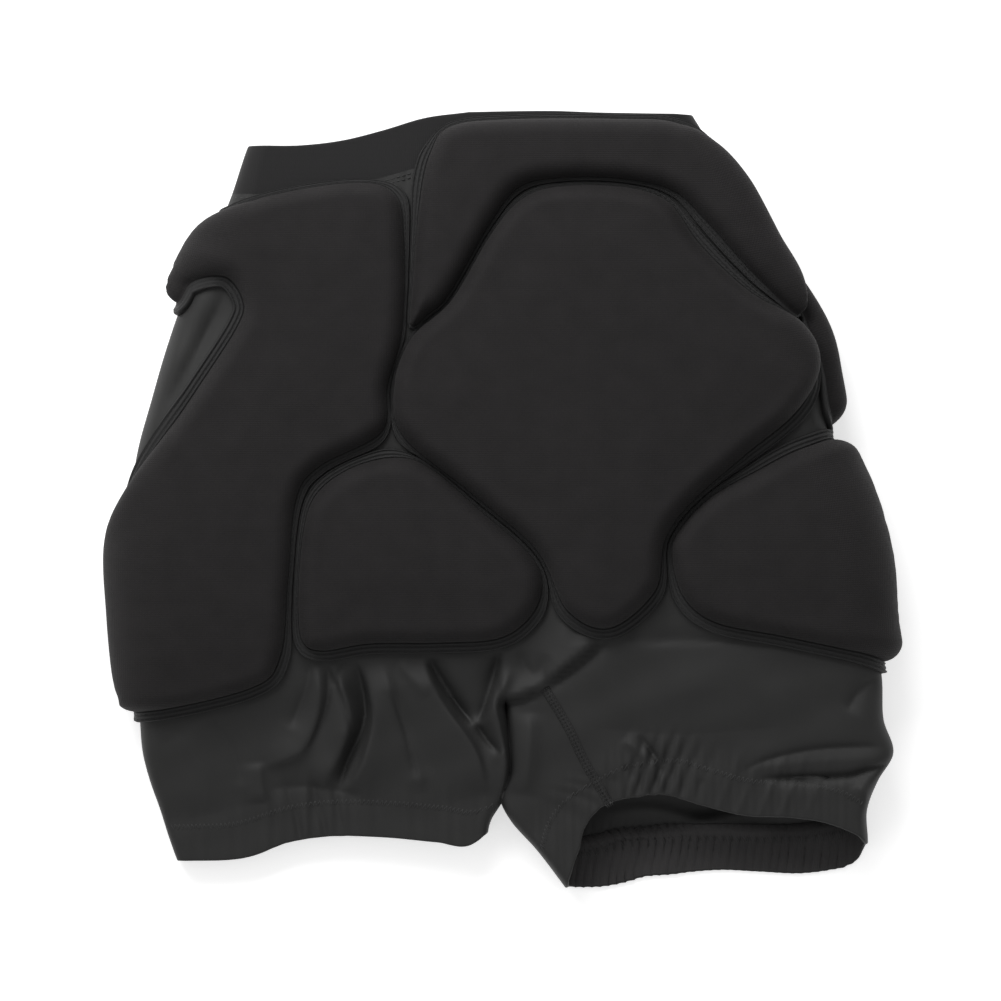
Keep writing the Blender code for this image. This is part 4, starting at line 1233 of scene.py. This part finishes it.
def make_flat_seam():
    """The raised flat seam down the inside of the right leg, with its stitches."""
    line = evenly(open_curve(np.array(SEAM_LINE) * (WIDTH, LENGTH)), SEAM_STEP, closed=False)
    _, beside = ahead_and_beside(line)
    rings = []
    for share, lift in SEAM_SECTION:
        here, normal = on_right_leg(line + beside * SEAM_WIDTH * share)
        rings.append(here + normal * lift / 1000.0)
    rings = np.stack(rings)
    count, columns = rings.shape[:2]
    faces = grid_faces(count, columns, False)
    last = (count - 1) * columns
    for column in range(columns - 1):
        faces.append([last + column, column, column + 1, last + column + 1])
    faces.append([ring * columns for ring in range(count)])
    faces.append([ring * columns + columns - 1 for ring in range(count - 1, -1, -1)])
    weave = np.concatenate([np.stack([line[:, 0] + ring * 0.0005, line[:, 1], line[:, 1] * 0.0], axis=1)
                            for ring in range(count)])
    piece = new_piece("flat_seam", rings.reshape(-1, 3), faces, BODY_CLOTH, weave)
    turn_outwards(piece)

    places = evenly(line, SEAM_STITCH_STEP, closed=False)
    ahead, beside = ahead_and_beside(places)
    rows = []
    for share, lean in SEAM_STITCH_ROWS:
        begin = places + beside * SEAM_WIDTH * share
        here, normal = on_right_leg(begin)
        there, _ = on_right_leg(begin + (ahead + beside * lean) * SEAM_STITCH_LENGTH)
        rows.append((here + normal * SEAM_STITCH_LIFT, there + normal * SEAM_STITCH_LIFT, normal))
    return [piece, stitch_mesh("flat_seam_stitches", rows, THREAD)]


# Stage, light and camera

def area_light(name, place, size, power):
    """A soft white light that looks at the origin."""
    data = bpy.data.lights.new(name, "AREA")
    data.shape = "RECTANGLE"
    data.size, data.size_y = size
    data.energy = power
    lamp = bpy.data.objects.new(name, data)
    bpy.context.scene.collection.objects.link(lamp)
    lamp.location = place
    lamp.rotation_euler = (-Vector(place)).to_track_quat("-Z", "Y").to_euler()


def make_stage():
    """A plain pale floor, soft light and the camera straight above."""
    size = 4.0
    corners = [(-size, -size, 0.0), (size, -size, 0.0), (size, size, 0.0), (-size, size, 0.0)]
    mesh = bpy.data.meshes.new("floor")
    mesh.from_pydata(corners, [], [(0, 1, 2, 3)])
    floor = bpy.data.objects.new("floor", mesh)
    bpy.context.scene.collection.objects.link(floor)
    paint, shader, _ = new_material("floor", 0.1)
    set_inputs(shader, {
        "Base Color": (0.92, 0.92, 0.92, 1.0), "Roughness": 0.9,
        "Emission Color": (1.0, 1.0, 1.0, 1.0), "Emission Strength": 0.55})
    mesh.materials.append(paint)

    world = bpy.data.worlds.new("studio")
    world.use_nodes = True
    set_inputs(world.node_tree.nodes["Background"], {"Color": (1.0, 1.0, 1.0, 1.0), "Strength": 0.47})
    bpy.context.scene.world = world

    area_light("far_light", (-0.50, 1.20, 1.05), (1.3, 0.8), 22.5)
    area_light("left_light", (-1.3, 0.25, 0.80), (0.9, 0.9), 1.0)

    data = bpy.data.cameras.new("camera")
    data.sensor_width = SENSOR_WIDTH
    data.sensor_fit = "HORIZONTAL"
    data.lens = SENSOR_WIDTH * (CAMERA_HEIGHT - MIDDLE_HEIGHT) / (PIXEL_SIZE * PICTURE_SIZE)
    data.clip_end = 20.0
    camera = bpy.data.objects.new("camera", data)
    camera.location = (
        (PICTURE_SIZE / 2.0 - GARMENT_LEFT) * PIXEL_SIZE - WIDTH / 2.0 + SHIFT_X,
        LENGTH / 2.0 + SHIFT_Y - (PICTURE_SIZE / 2.0 - GARMENT_TOP) * PIXEL_SIZE,
        CAMERA_HEIGHT)
    bpy.context.scene.collection.objects.link(camera)
    bpy.context.scene.camera = camera
    bpy.context.scene.view_settings.view_transform = "Standard"
    bpy.context.scene.view_settings.look = "None"


make_stage()
back_cloth, front_cloth = make_panels()
trims = [make_waistband()] + make_hems()
for pad_name in THICKNESSES:
    pad(pad_name, PAD_CLOTH)
    flange_stitches(pad_name, THREAD)
trims.append(seam_stitches())
trims += make_flat_seam()
